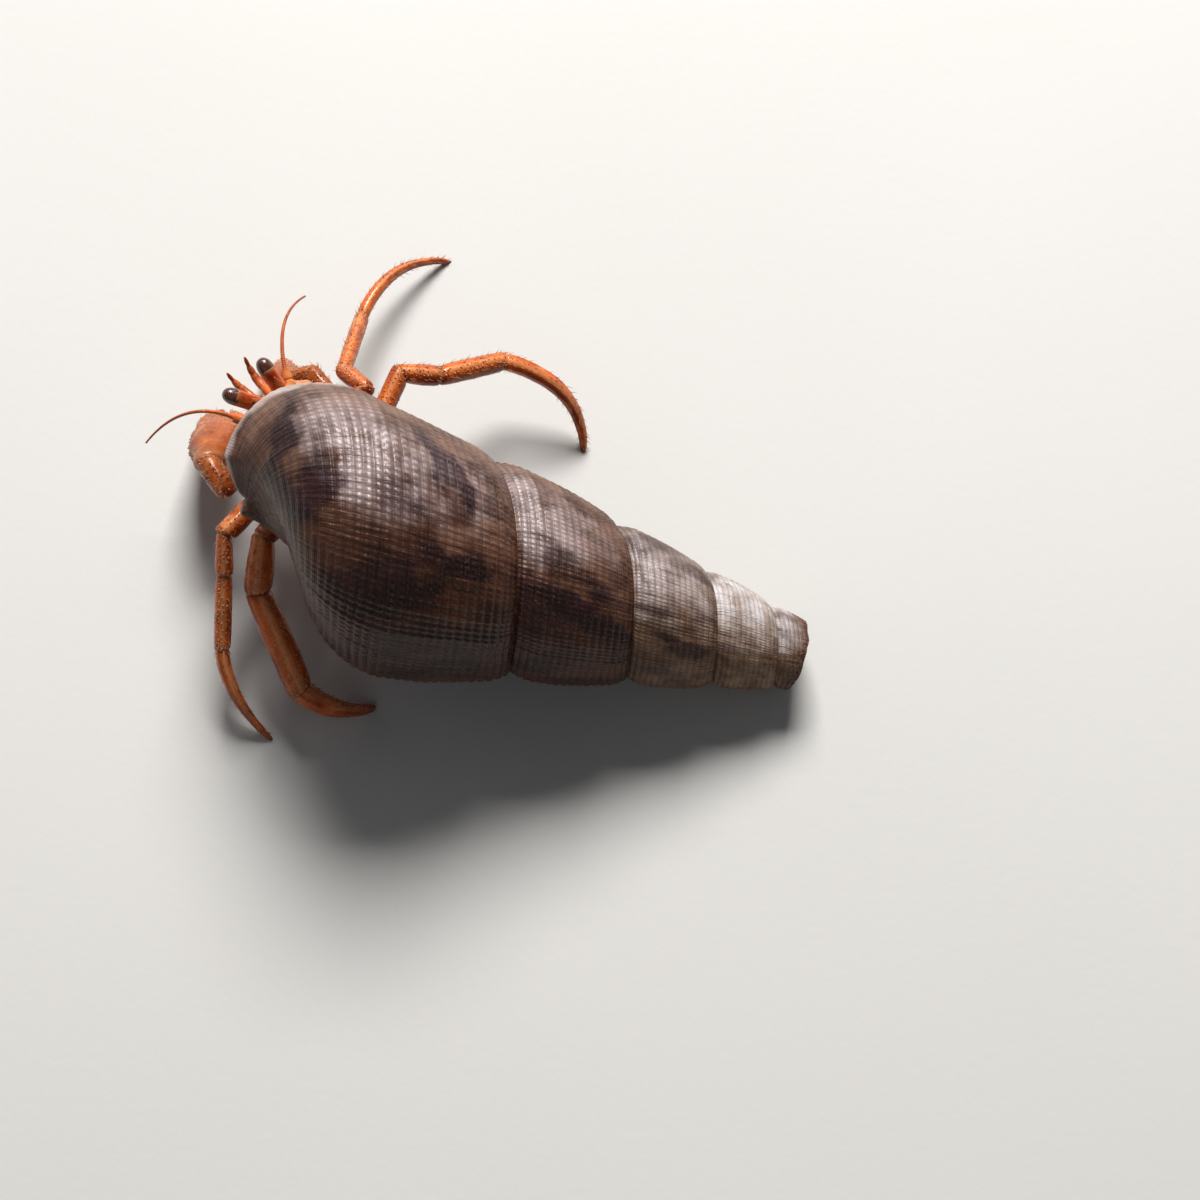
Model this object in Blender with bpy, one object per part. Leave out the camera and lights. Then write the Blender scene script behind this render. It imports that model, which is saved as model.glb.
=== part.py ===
"""A small land hermit crab walking in a tall-spired snail shell.

Life size, in metres, +Z up. The crab heads along -Y and +X is its left side.
Driving sizes are in millimetres and become metres where a mesh is made. They
are measured from a point on the floor under the front of the crab's head, and
MODEL_CENTRE, the middle of the whole animal on the floor, becomes the origin.
"""

import math

import bmesh
import bpy
from mathutils import Matrix, Vector

MM = 0.001
GAP = 0.3                      # between one piece and the piece it grows from
MODEL_CENTRE = Vector((-1.0435, 10.323, 0.0))

# The shell: a log spiral about an axis that slopes down towards the tip.
SHELL_FRONT = Vector((5.8, 1.15, 9.58))   # where the axis meets the front end
SHELL_HEADING = math.radians(124.2)       # of the axis, front to tip, from +X
SHELL_SLOPE = math.radians(15.6)          # of the axis below level
SPIRE_POINT = 37.2             # from the front to where an unworn tip would end
WORN_TIP = 29.7                # from the front to the broken tip
WHORL_RATIO = 0.73             # each turn against the next one
TURNS = 5
TURN_STEPS = 40
LIP_CLOCK = math.radians(74.0)  # of the lip about the axis, from its top
SUTURE_AT = 12.2               # along the axis, at the lip
SUTURE_RADIUS = 5.15
PERIPHERY_AT = 4.9
PERIPHERY_RADIUS = 7.4
SIDE_TAPER = 0.24              # of radius, along the axis
SIDE_BULGE = 0.22
SHOULDER_WIDTH = 1.3
SHOULDER_DROP = 0.45
BASE_END_AT = -0.55
BASE_END_RADIUS = 2.2
PILLAR_TIP_AT = 1.0
PILLAR_TIP_RADIUS = 0.42
PILLAR_FLARE = 1.6             # how fast the base narrows to the pillar
LIP_TUCK = 0.6                 # how far the lip draws in, over the last part of a turn
TUCK_ANGLE = math.radians(58.0)
TUCK_POWER = 1.6
TUCK_FRONT = 1.0               # along the axis, where the tuck ends
TUCK_RADII = (3.5, 5.5)        # the tuck fades out between these
SHELL_WALL = 0.55
MOUTH_CORNER = [(0.45, 2.9), (1.3, 2.0)]  # (along, radius) where the lip meets the pillar
MOUTH_PILLAR_RADIUS = 1.7
MOUTH_PILLAR_ALONG = (2.6, 5.0, 7.6)
WHORL_ROWS = 7
BASE_ROWS = 8
PILLAR_ROWS = 4
RECESS_ANGLE = math.radians(78.0)
RECESS_STEPS = 6

# The body.
THORAX_HALF_WIDTH = 1.55
THORAX_BOTTOM = 4.5
THORAX_TOP = 6.4
THORAX_FRONT = -1.3
THORAX_BACK = 4.5
SHIELD_FRONT = -1.35
SHIELD_BACK = 3.2
SHIELD_HALF_WIDTH = 2.25
SHIELD_TOP = 8.6
ROOT_HEIGHT = 5.35             # of the legs' roots on the thorax
# Rings of the soft body: x, y, z, half width, half height, and lean back in degrees.
CARAPACE_REAR = ((0.0, SHIELD_BACK + GAP, 7.60, 1.85, 0.90, 0.0), (-0.15, 4.10, 7.85, 1.95, 1.15, 0.0),
                 (-0.35, 4.80, 8.15, 1.80, 1.20, 0.0))
BELLY = ((-0.45, 5.10, 8.20, 1.60, 1.10, 0.0), (-0.80, 5.50, 8.85, 1.65, 1.30, 35.0),
         (-1.00, 5.85, 9.80, 1.65, 1.35, 60.0), (-0.90, 6.35, 11.00, 1.45, 1.20, 60.0))

# Legs: where each joint is, and half the depth of each segment.
LEGS = {
    "leg_left_front": {
        "side": 1, "root_y": 1.05, "depths": (0.58, 0.62, 0.52, 0.50, 0.42),
        "hip": (2.75, 1.10, 5.45), "knee": (6.24, 1.34, 5.90), "wrist": (7.50, 2.55, 4.80),
        "ankle": (9.90, 4.75, 2.90), "bend": (10.85, 6.60, 1.70), "tip": (10.90, 8.95, 0.0)},
    "leg_left_rear": {
        "side": 1, "root_y": 2.55, "depths": (0.58, 0.66, 0.80, 0.84, 0.66),
        "hip": (2.70, 2.75, 5.70), "knee": (5.15, 3.05, 6.75), "wrist": (6.95, 4.35, 4.90),
        "ankle": (8.55, 8.90, 2.60), "bend": (7.85, 10.50, 1.65), "tip": (6.25, 11.40, 0.0)},
    "leg_right_front": {
        "side": -1, "root_y": 1.05, "depths": (0.58, 0.58, 0.52, 0.46, 0.38),
        "hip": (-2.65, 0.80, 5.60), "knee": (-3.75, 1.10, 7.15), "wrist": (-3.95, -0.75, 5.50),
        "ankle": (-7.20, -2.90, 2.95), "bend": (-10.40, -3.70, 1.95), "tip": (-13.10, -2.80, 0.0)},
    "leg_right_rear": {
        "side": -1, "root_y": 2.55, "depths": (0.58, 0.60, 0.60, 0.60, 0.52),
        "hip": (-2.75, 2.55, 5.30), "knee": (-5.80, 1.40, 5.80), "wrist": (-7.22, 2.68, 5.10),
        "ankle": (-10.36, 3.99, 3.70), "bend": (-11.61, 6.99, 2.40), "tip": (-10.80, 9.20, 0.0)},
}
CLAWS = {
    "claw_left": {
        "side": 1, "root_y": -0.55, "depths": (0.60, 0.66, 0.72), "breadth": 1.35, "thickness": 1.05,
        "hip": (2.60, -0.70, 5.30), "elbow": (4.40, -0.70, 5.05), "wrist": (4.05, -2.15, 4.90),
        "tip": (0.50, -4.80, 0.0), "across": (-0.64, 0.75, 0.08)},
    "claw_right": {
        "side": -1, "root_y": -0.55, "depths": (0.52, 0.52, 0.52), "breadth": 0.85, "thickness": 0.68,
        "hip": (-2.75, -0.70, 5.25), "elbow": (-2.85, -1.95, 5.05), "wrist": (-2.00, -2.70, 4.10),
        "tip": (-2.70, -5.00, 0.0), "across": (0.95, -0.20, -0.10)},
}
PALM_SHARE = 0.60              # of the claw's length, from its wrist
# The small fourth leg, folded up behind the others: root, elbow and tip on the left.
FOURTH_LEG = ((1.85, 3.75, 5.80), (2.95, 4.25, 6.60), (2.50, 3.90, 7.90))
FOURTH_LEG_RADII = [0.30, 0.34, 0.32, 0.33, 0.32, 0.26, 0.16]
SEGMENT_SIDES = 12
TIP_RADIUS = 0.13

# Eyes: where each stalk leaves the shield, as (x, z), and where its eye ends.
STALK_RADIUS = 0.46
EYE_LENGTH = 0.62
STALKS = {"left": ((0.52, 7.65), (1.75, -3.20, 8.70)), "right": ((-0.52, 7.65), (-0.75, -3.20, 8.70))}

# Feelers and mouthparts of the left side: (x, z) of the root, then the middle and the end.
ANTENNULE = ((0.28, 6.98), (0.42, -3.1, 6.3), (0.60, -4.2, 7.3))
ANTENNULE_RADII = [0.26, 0.25, 0.25, 0.24, 0.22, 0.18, 0.12]
ANTENNA_ROOT = (1.0, 5.85)
ANTENNA_BEND = (1.75, -2.60, 6.35)
ANTENNA_BASE_RADII = [0.34, 0.38, 0.34, 0.28]
WHIP_MIDDLE = (3.4, -4.3, 6.7)
WHIP_TIP = (5.5, -5.1, 5.0)
WHIP_RADII = [0.25 - 0.015 * step for step in range(9)]
MAXILLIPED = ((0.42, 5.15), (0.44, -2.4, 4.85), (0.42, -2.75, 3.9))
MAXILLIPED_RADII = [0.32, 0.34, 0.34, 0.32, 0.28, 0.2]

parts = bpy.data.collections.new("hermit_crab")


def clear_scene():
    """Remove whatever the scene holds."""
    for item in list(bpy.data.objects):
        bpy.data.objects.remove(item, do_unlink=True)
    bpy.context.scene.collection.children.link(parts)


def material(name, colour, roughness):
    """A plain Principled material."""
    made = bpy.data.materials.new(name)
    made.use_nodes = True
    shader = made.node_tree.nodes["Principled BSDF"]
    shader.inputs["Base Color"].default_value = (*colour, 1.0)
    shader.inputs["Roughness"].default_value = roughness
    shader.inputs["Metallic"].default_value = 0.0
    return made


def finish_object(name, shape, colour, roughness):
    """Turn a bmesh in millimetres into a named object in metres."""
    bmesh.ops.translate(shape, verts=shape.verts, vec=-MODEL_CENTRE)
    bmesh.ops.scale(shape, verts=shape.verts, vec=(MM, MM, MM))
    bmesh.ops.recalc_face_normals(shape, faces=shape.faces)
    mesh = bpy.data.meshes.new(name)
    shape.to_mesh(mesh)
    shape.free()
    mesh.shade_smooth()
    mesh.set_sharp_from_angle(angle=math.radians(50.0))
    made = bpy.data.objects.new(name, mesh)
    mesh.materials.append(material(name, colour, roughness))
    parts.objects.link(made)
    return made


def loft(sections):
    """A closed body through rings that all have the same number of points."""
    shape = bmesh.new()
    rings = [[shape.verts.new(point) for point in ring] for ring in sections]
    count = len(rings[0])
    for ring, following in zip(rings, rings[1:]):
        for i in range(count):
            j = (i + 1) % count
            shape.faces.new((ring[i], ring[j], following[j], following[i]))
    shape.faces.new(list(reversed(rings[0])))
    shape.faces.new(rings[-1])
    return shape


def oval(centre, across, up, half_width, half_height, count=SEGMENT_SIDES):
    """A ring of points round an ellipse."""
    points = []
    for i in range(count):
        angle = 2.0 * math.pi * i / count
        points.append(centre + across * (half_width * math.cos(angle)) + up * (half_height * math.sin(angle)))
    return points


def onto_plane(points, direction, plane_point, normal, share):
    """Slide points along a direction, part of the way or all the way onto a plane."""
    slid = []
    for point in points:
        distance = (plane_point - point).dot(normal) / direction.dot(normal)
        slid.append(point + direction * (distance * share))
    return slid


def bezier(start, through, end, share):
    """A point on the arc that leaves start, passes through the middle point and ends at end."""
    handle = through * 2.0 - (start + end) * 0.5
    rest = 1.0 - share
    return start * (rest * rest) + handle * (2.0 * rest * share) + end * (share * share)


def limb(start, through, end, start_plane, end_plane, sizes, across, flatness=0.86):
    """A tapering length between two joint planes, as rings of points.

    sizes holds (share of the length, half depth) pairs. across is the way the
    segment is flattened, and its width is flatness times its depth.
    """
    sections = []
    for share, depth in sizes:
        centre = bezier(start, through, end, share)
        ahead = bezier(start, through, end, min(1.0, share + 0.02))
        behind = bezier(start, through, end, max(0.0, share - 0.02))
        along = (ahead - behind).normalized()
        side = (across - along * across.dot(along)).normalized()
        up = along.cross(side)
        ring = oval(centre, side, up, depth * flatness, depth)
        near_start = max(0.0, 1.0 - share / 0.3)
        near_end = max(0.0, 1.0 - (1.0 - share) / 0.3)
        ring = onto_plane(ring, along, start, start_plane, near_start)
        ring = onto_plane(ring, along, end, end_plane, near_end)
        sections.append(ring)
    return sections


SEGMENT_FORM = ((0.0, 0.78), (0.12, 0.92), (0.4, 1.0), (0.75, 1.0), (0.92, 0.94), (1.0, 0.80))
DACTYL_FORM = ((0.0, 0.90), (0.12, 1.0), (0.3, 0.95), (0.5, 0.82), (0.68, 0.66), (0.83, 0.48), (0.94, 0.34))


def scaled(form, depth):
    """The form's sizes for one segment."""
    return [(share, size * depth) for share, size in form]


def build_segment(name, start, end, start_plane, end_plane, depth, across, colour):
    """One straight segment, half a gap short of the joint plane at each end."""
    along = (end - start).normalized()
    first = start + along * (0.5 * GAP / along.dot(start_plane))
    last = end - along * (0.5 * GAP / along.dot(end_plane))
    rings = limb(first, (first + last) * 0.5, last, start_plane, end_plane,
                 scaled(SEGMENT_FORM, depth), across)
    return finish_object(name, loft(rings), colour, 0.35)


def joint_plane(before, joint, after):
    """The plane that halves the bend at a joint, as a normal along the limb."""
    return ((joint - before).normalized() + (after - joint).normalized()).normalized()


ORANGE = (0.72, 0.20, 0.05)
RED_ORANGE = (0.62, 0.13, 0.04)
PALE_ORANGE = (0.80, 0.42, 0.20)


def build_leg(name, leg):
    """A walking leg: base, merus, carpus, propodus and a curved dactyl."""
    root = Vector((leg["side"] * (THORAX_HALF_WIDTH + 0.5 * GAP), leg["root_y"], ROOT_HEIGHT))
    points = [root] + [Vector(leg[joint]) for joint in ("hip", "knee", "wrist", "ankle")]
    tip = Vector(leg["tip"])
    bend = Vector(leg["bend"])
    outward = Vector((leg["side"], 0.0, 0.0))
    planes = [outward]
    for before, joint, after in zip(points, points[1:], points[2:] + [bend]):
        planes.append(joint_plane(before, joint, after))
    for number, segment in enumerate(("base", "merus", "carpus", "propodus")):
        start, end = points[number], points[number + 1]
        across = (end - start).cross(Vector((0.0, 0.0, 1.0))).normalized()
        build_segment("%s_%s" % (name, segment), start, end, planes[number], planes[number + 1],
                      leg["depths"][number], across, ORANGE)
    ankle = points[-1]
    along = (bend - ankle).normalized()
    first = ankle + along * (0.5 * GAP / along.dot(planes[-1]))
    across = (tip - ankle).cross(Vector((0.0, 0.0, 1.0))).normalized()
    sizes = scaled(DACTYL_FORM, leg["depths"][4]) + [(1.0, TIP_RADIUS)]
    floor = Vector((0.0, 0.0, -1.0))
    rings = limb(first, bend, tip, planes[-1], floor, sizes, across)
    finish_object(name + "_dactyl", loft(rings), RED_ORANGE, 0.3)


def build_claw(name, claw):
    """A claw leg: base, merus, carpus, palm with its fixed finger, and the moving finger."""
    root = Vector((claw["side"] * (THORAX_HALF_WIDTH + 0.5 * GAP), claw["root_y"], ROOT_HEIGHT))
    points = [root] + [Vector(claw[joint]) for joint in ("hip", "elbow", "wrist")]
    tip = Vector(claw["tip"])
    planes = [Vector((claw["side"], 0.0, 0.0))]
    for before, joint, after in zip(points, points[1:], points[2:] + [tip]):
        planes.append(joint_plane(before, joint, after))
    for number, segment in enumerate(("base", "merus", "carpus")):
        start, end = points[number], points[number + 1]
        across = (end - start).cross(Vector((0.0, 0.0, 1.0))).normalized()
        build_segment("%s_%s" % (name, segment), start, end, planes[number], planes[number + 1],
                      claw["depths"][number], across, ORANGE)
    build_palm(name, claw, points[-1], tip, planes[-1])


def build_palm(name, claw, wrist, tip, wrist_plane):
    """The palm narrows on one side into the fixed finger, and the moving finger lies beside it."""
    along = (tip - wrist).normalized()
    first = wrist + along * (0.5 * GAP / along.dot(wrist_plane))
    across = Vector(claw["across"])
    across = (across - along * across.dot(along)).normalized()
    thick = along.cross(across)
    breadth = claw["breadth"]
    thickness = claw["thickness"]
    floor = Vector((0.0, 0.0, -1.0))
    length = (tip - first).length
    step = PALM_SHARE + 0.015
    # Each row: share of the length, shift across, half breadth, half thickness.
    palm_rows = [(0.0, 0.0, 0.42 * breadth, 0.5 * thickness), (0.1, 0.0, 0.68 * breadth, 0.8 * thickness),
                 (0.28, 0.0, 0.94 * breadth, thickness), (0.46, 0.0, breadth, thickness),
                 (PALM_SHARE, 0.0, 0.96 * breadth, 0.88 * thickness)]
    finger_sizes = ((0.0, 0.42 * breadth, 0.66 * thickness), (0.45, 0.36 * breadth, 0.52 * thickness),
                    (0.8, 0.22 * breadth, 0.32 * thickness), (1.0, TIP_RADIUS, TIP_RADIUS))
    finger_rows = []
    for share, half_breadth, half_thickness in finger_sizes:
        shift = half_breadth + 0.55 * GAP
        palm_rows.append((step + (1.0 - step) * share, -shift, half_breadth, half_thickness))
        start = step + GAP / length
        finger_rows.append((start + (1.0 - start) * share, shift, half_breadth, half_thickness))
    for part, rows in (("palm", palm_rows), ("finger", finger_rows)):
        rings = []
        for share, shift, half_breadth, half_thickness in rows:
            centre = first.lerp(tip, share) + across * shift
            ring = oval(centre, across, thick, half_breadth, half_thickness)
            if share == 0.0:
                ring = onto_plane(ring, along, first, wrist_plane, 1.0)
            if share == 1.0:
                ring = onto_plane(ring, along, tip, floor, 1.0)
            rings.append(ring)
        finish_object("%s_%s" % (name, part), loft(rings), ORANGE, 0.35)


def shell_frame():
    """The shell's axis, its top and its right side, as unit vectors."""
    level = Vector((math.cos(SHELL_HEADING), math.sin(SHELL_HEADING), 0.0))
    axis = level * math.cos(SHELL_SLOPE) - Vector((0.0, 0.0, math.sin(SHELL_SLOPE)))
    right = Vector((-level.y, level.x, 0.0))
    top = axis.cross(right)
    if top.z < 0.0:
        top = -top
    return axis, top, right


AXIS, TOP, RIGHT = shell_frame()
WHORL_END = SPIRE_POINT - (SPIRE_POINT - SUTURE_AT) / WHORL_RATIO


def shell_point(along, radius, turn):
    """A point of the shell. turn is the growth angle, zero at the lip and less than zero before it."""
    clock = LIP_CLOCK + turn
    outward = RIGHT * math.sin(clock) + TOP * math.cos(clock)
    return SHELL_FRONT + AXIS * along + outward * radius


def side_profile(share):
    """The lip's outline from its suture, share 0, to where the next suture would lie, share 1."""
    along = SUTURE_AT + (WHORL_END - SUTURE_AT) * share
    if along < PERIPHERY_AT:
        return along, base_radius(along)
    past = along - PERIPHERY_AT
    span = SUTURE_AT - PERIPHERY_AT
    radius = PERIPHERY_RADIUS - SIDE_TAPER * past + SIDE_BULGE * math.sin(math.pi * past / span)
    shoulder = max(0.0, 1.0 - (SUTURE_AT - along) / SHOULDER_WIDTH)
    return along, radius - SHOULDER_DROP * shoulder * shoulder


def base_radius(along):
    """The radius in front of the widest point, on a quarter of an ellipse."""
    past = (PERIPHERY_AT - along) / (PERIPHERY_AT - BASE_END_AT)
    return BASE_END_RADIUS + (PERIPHERY_RADIUS - BASE_END_RADIUS) * math.sqrt(max(0.0, 1.0 - past * past))


def base_profile(share):
    """The lip's outline from where the next suture would lie, share 0, to the front end, share 1."""
    begin = math.asin((PERIPHERY_AT - WHORL_END) / (PERIPHERY_AT - BASE_END_AT))
    angle = begin + (0.5 * math.pi - begin) * share
    along = PERIPHERY_AT - (PERIPHERY_AT - BASE_END_AT) * math.sin(angle)
    return along, base_radius(along)


def pillar_profile(share, turn):
    """The flank of the pillar, from the end of the base, share 0, to the pillar's tip, share 1."""
    first_along, first_radius = grown(BASE_END_AT, BASE_END_RADIUS, turn)
    along = first_along + (PILLAR_TIP_AT - first_along) * share
    radius = PILLAR_TIP_RADIUS + (first_radius - PILLAR_TIP_RADIUS) * (1.0 - share) ** PILLAR_FLARE
    return along, radius


def grown(along, radius, turn):
    """The same spot of the outline at another growth angle."""
    scale = WHORL_RATIO ** (-turn / (2.0 * math.pi))
    return SPIRE_POINT - (SPIRE_POINT - along) * scale, (radius - tuck(along, radius, turn)) * scale


def tuck(along, radius, turn):
    """How far the outer wall draws in towards the axis just before the lip."""
    near = max(0.0, 1.0 + turn / TUCK_ANGLE) ** TUCK_POWER
    place = min(1.0, max(0.0, (SUTURE_AT - along) / (SUTURE_AT - TUCK_FRONT)))
    outer = min(1.0, max(0.0, (radius - TUCK_RADII[0]) / (TUCK_RADII[1] - TUCK_RADII[0])))
    return LIP_TUCK * near * math.sin(math.pi * place) * outer


def build_shell():
    """One spiral strip from the tip to the lip, closed by the base, the pillar and the mouth."""
    shape = bmesh.new()
    last = TURNS * TURN_STEPS
    angle = [2.0 * math.pi * (i - last) / TURN_STEPS for i in range(last + 1)]
    shares = [1.0 - (1.0 - j / WHORL_ROWS) ** 1.15 for j in range(WHORL_ROWS)]
    shares[0] = 0.0
    suture = (SUTURE_AT, SUTURE_RADIUS)
    strip = []
    for turn in angle:
        column = []
        for j, share in enumerate(shares):
            spot = suture if j == 0 else side_profile(share)
            column.append(shape.verts.new(shell_point(*grown(*spot, turn), turn)))
        strip.append(column)
    first_base = last - TURN_STEPS
    front = shape.verts.new(shell_point(PILLAR_TIP_AT, 0.0, 0.0))
    for i in range(last + 1):
        if i + TURN_STEPS <= last:
            strip[i].append(strip[i + TURN_STEPS][0])
    columns = {}
    for i in range(first_base, last + 1):
        turn = angle[i]
        column = list(strip[i][:WHORL_ROWS]) if i > first_base else [strip[i][WHORL_ROWS]]
        if i > first_base:
            column.append(shape.verts.new(shell_point(*grown(*side_profile(1.0), turn), turn)))
        for k in range(1, BASE_ROWS + 1):
            spot = base_profile(k / BASE_ROWS)
            column.append(shape.verts.new(shell_point(*grown(*spot, turn), turn)))
        for k in range(1, PILLAR_ROWS):
            column.append(shape.verts.new(shell_point(*pillar_profile(k / PILLAR_ROWS, turn), turn)))
        if i < last:
            column.append(shape.verts.new(shell_point(PILLAR_TIP_AT, PILLAR_TIP_RADIUS, turn)))
        else:
            column.append(columns[first_base][-1])
        columns[i] = column
    for i in range(first_base):
        for j in range(WHORL_ROWS):
            shape.faces.new((strip[i][j], strip[i + 1][j], strip[i + 1][j + 1], strip[i][j + 1]))
    start = strip[first_base][:WHORL_ROWS] + columns[first_base]
    previous = start
    for i in range(first_base + 1, last + 1):
        column = columns[i]
        for j in range(len(column) - 1):
            shape.faces.new((previous[j], column[j], column[j + 1], previous[j + 1]))
        shape.faces.new((previous[-1], column[-1], front))
        previous = column
    mouth = columns[last] + list(reversed(columns[first_base]))[1:-1]
    shape.faces.new(mouth)
    tip_centre = shape.verts.new(shell_point(SPIRE_POINT, 0.0, 0.0))
    rim = [strip[i][0] for i in range(TURN_STEPS + 1)]
    for before, after in zip(rim, rim[1:]):
        shape.faces.new((tip_centre, after, before))
    shape.faces.new([tip_centre] + strip[0][:WHORL_ROWS] + [rim[-1]])
    bmesh.ops.triangulate(shape, faces=[face for face in shape.faces if len(face.verts) > 4])
    cut_flat(shape, SHELL_FRONT + AXIS * WORN_TIP, AXIS)
    cut_flat(shape, Vector((0.0, 0.0, 0.0)), Vector((0.0, 0.0, -1.0)))
    shell = finish_object("shell", shape, (0.42, 0.28, 0.22), 0.25)
    hollow_mouth(shell)
    return shell


def cut_flat(shape, point, outward):
    """Cut away what lies past a plane and close the cut with a flat face."""
    everything = shape.verts[:] + shape.edges[:] + shape.faces[:]
    cut = bmesh.ops.bisect_plane(shape, geom=everything, plane_co=point, plane_no=outward, clear_outer=True)
    edges = [item for item in cut["geom_cut"] if isinstance(item, bmesh.types.BMEdge)]
    bmesh.ops.holes_fill(shape, edges=edges)


def mouth_section():
    """The opening inside the lip, as (along, radius) pairs: down the lip, then back up the pillar."""
    outer = [side_profile(share) for share in (0.28, 0.42, 0.62, 0.84, 1.0)]
    outer += [base_profile(share) for share in (0.24, 0.53, 0.82)]
    points = []
    for before, spot, after in zip(outer, outer[1:], outer[2:]):
        edge = Vector(after) - Vector(before)
        inward = Vector((-edge.y, edge.x)).normalized()
        points.append(tuple(Vector(spot) + inward * SHELL_WALL))
    points += MOUTH_CORNER
    points += [(along, MOUTH_PILLAR_RADIUS) for along in MOUTH_PILLAR_ALONG]
    for share in (0.71, 0.45, 0.22):
        along, radius = grown(*base_profile(share), -2.0 * math.pi)
        points.append((along - SHELL_WALL, radius))
    return points


def hollow_mouth(shell):
    """Cut the mouth's hollow back along the whorl."""
    section = mouth_section()
    rings = []
    for step in range(-1, RECESS_STEPS + 1):
        turn = -RECESS_ANGLE * step / RECESS_STEPS
        rings.append([shell_point(*grown(*spot, turn), turn) for spot in section])
    cutter = finish_object("mouth_cutter", loft(rings), (0.5, 0.5, 0.5), 0.5)
    cut = shell.modifiers.new("mouth", "BOOLEAN")
    cut.operation = "DIFFERENCE"
    cut.solver = "EXACT"
    cut.object = cutter
    evaluated = shell.evaluated_get(bpy.context.evaluated_depsgraph_get())
    hollowed = bpy.data.meshes.new_from_object(evaluated)
    shell.modifiers.clear()
    shell.data = hollowed
    bpy.data.objects.remove(cutter, do_unlink=True)


def rounded_box(centre, half_width, bottom, top, count=16, power=0.55):
    """A ring in the XZ plane, between an ellipse and a box."""
    points = []
    middle = 0.5 * (bottom + top)
    half_height = 0.5 * (top - bottom)
    for i in range(count):
        angle = 2.0 * math.pi * (i + 0.5) / count
        x = math.copysign(abs(math.cos(angle)) ** power, math.cos(angle)) * half_width
        z = math.copysign(abs(math.sin(angle)) ** power, math.sin(angle)) * half_height
        points.append(Vector((centre[0] + x, centre[1], middle + z)))
    return points


def build_thorax():
    """The underside that carries the legs, with flat sides where they grow."""
    rows = ((THORAX_FRONT, 0.80, 0.55), (-1.05, 0.97, 0.25), (-0.6, 1.0, 0.08), (1.4, 1.0, 0.0),
            (3.1, 1.0, 0.1), (4.1, 1.0, 0.45), (THORAX_BACK, 0.7, 0.75))
    rings = []
    for y, width, lift in rows:
        half_width = THORAX_HALF_WIDTH * width
        rings.append(rounded_box((0.0, y), half_width, THORAX_BOTTOM + lift, THORAX_TOP, power=0.3))
    finish_object("thorax", loft(rings), PALE_ORANGE, 0.5)


def build_shield():
    """The domed shield over the front of the body."""
    rows = ((SHIELD_FRONT, 0.66, 0.16), (-1.0, 0.84, 0.06), (0.2, 0.97, 0.0), (1.6, 1.0, 0.0),
            (2.7, 0.94, 0.08), (SHIELD_BACK, 0.82, 0.22))
    bottom = THORAX_TOP + GAP
    rings = []
    for y, width, drop in rows:
        ring = rounded_box((0.0, y), SHIELD_HALF_WIDTH * width, bottom, SHIELD_TOP - drop, power=0.7)
        rings.append([Vector((p.x, p.y, max(p.z, bottom + 0.12 * abs(p.x)))) for p in ring])
    finish_object("carapace_shield", loft(rings), ORANGE, 0.4)


def build_rear():
    """The soft rear of the carapace, and the belly that fills the shell's mouth."""
    for name, rows in (("carapace_rear", CARAPACE_REAR), ("abdomen", BELLY)):
        rings = []
        for x, y, z, half_width, half_height, tilt in rows:
            angle = math.radians(tilt)
            up = Vector((0.0, -math.sin(angle), math.cos(angle)))
            rings.append(oval(Vector((x, y, z)), Vector((1.0, 0.0, 0.0)), up, half_width, half_height, 16))
        finish_object(name, loft(rings), PALE_ORANGE, 0.5)


def build_eye(side, base, tip):
    """A thick eyestalk and the dark eye at its end."""
    front = Vector((0.0, -1.0, 0.0))
    start = Vector((base[0], SHIELD_FRONT - GAP, base[1]))
    end = Vector(tip)
    along = (end - start).normalized()
    across = along.cross(Vector((0.0, 0.0, 1.0))).normalized()
    form = ((0.0, 0.86), (0.2, 1.0), (0.6, 0.95), (0.9, 1.0), (1.0, 0.96))
    stalk_end = end - along * (EYE_LENGTH + GAP)
    rings = limb(start, (start + stalk_end) * 0.5, stalk_end, front, along,
                 scaled(form, STALK_RADIUS), across, flatness=0.9)
    finish_object("eyestalk_" + side, loft(rings), RED_ORANGE, 0.3)
    rings = []
    for share in (0.0, 0.3, 0.6, 0.85, 1.0):
        radius = STALK_RADIUS * math.sqrt(1.0 - (0.93 * share) ** 2)
        rings.append(oval(end - along * (EYE_LENGTH * (1.0 - share)), across, along.cross(across),
                          radius * 0.95, radius))
    finish_object("eye_" + side, loft(rings), (0.05, 0.02, 0.02), 0.1)


def build_feeler(name, path, radii, start_plane, colour=RED_ORANGE):
    """A thin tapering feeler along a bent path, its root flat against what it grows from."""
    rings = []
    for i, centre in enumerate(path):
        before = path[max(0, i - 1)]
        after = path[min(len(path) - 1, i + 1)]
        along = (after - before).normalized()
        across = along.cross(Vector((0.0, 0.0, 1.0))).normalized()
        ring = oval(centre, across, along.cross(across), radii[i], radii[i], 8)
        if i == 0:
            ring = onto_plane(ring, along, centre, start_plane, 1.0)
        rings.append(ring)
    finish_object(name, loft(rings), colour, 0.35)


def arc_points(start, through, end, radii):
    """Points along the arc of three places, one for each radius."""
    last = len(radii) - 1
    return [bezier(start, through, end, i / last) for i in range(last + 1)]


def mirrored(point, sign):
    """A point of the left side, or its mirror image."""
    return Vector((point[0] * sign, point[1], point[2]))


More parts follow.
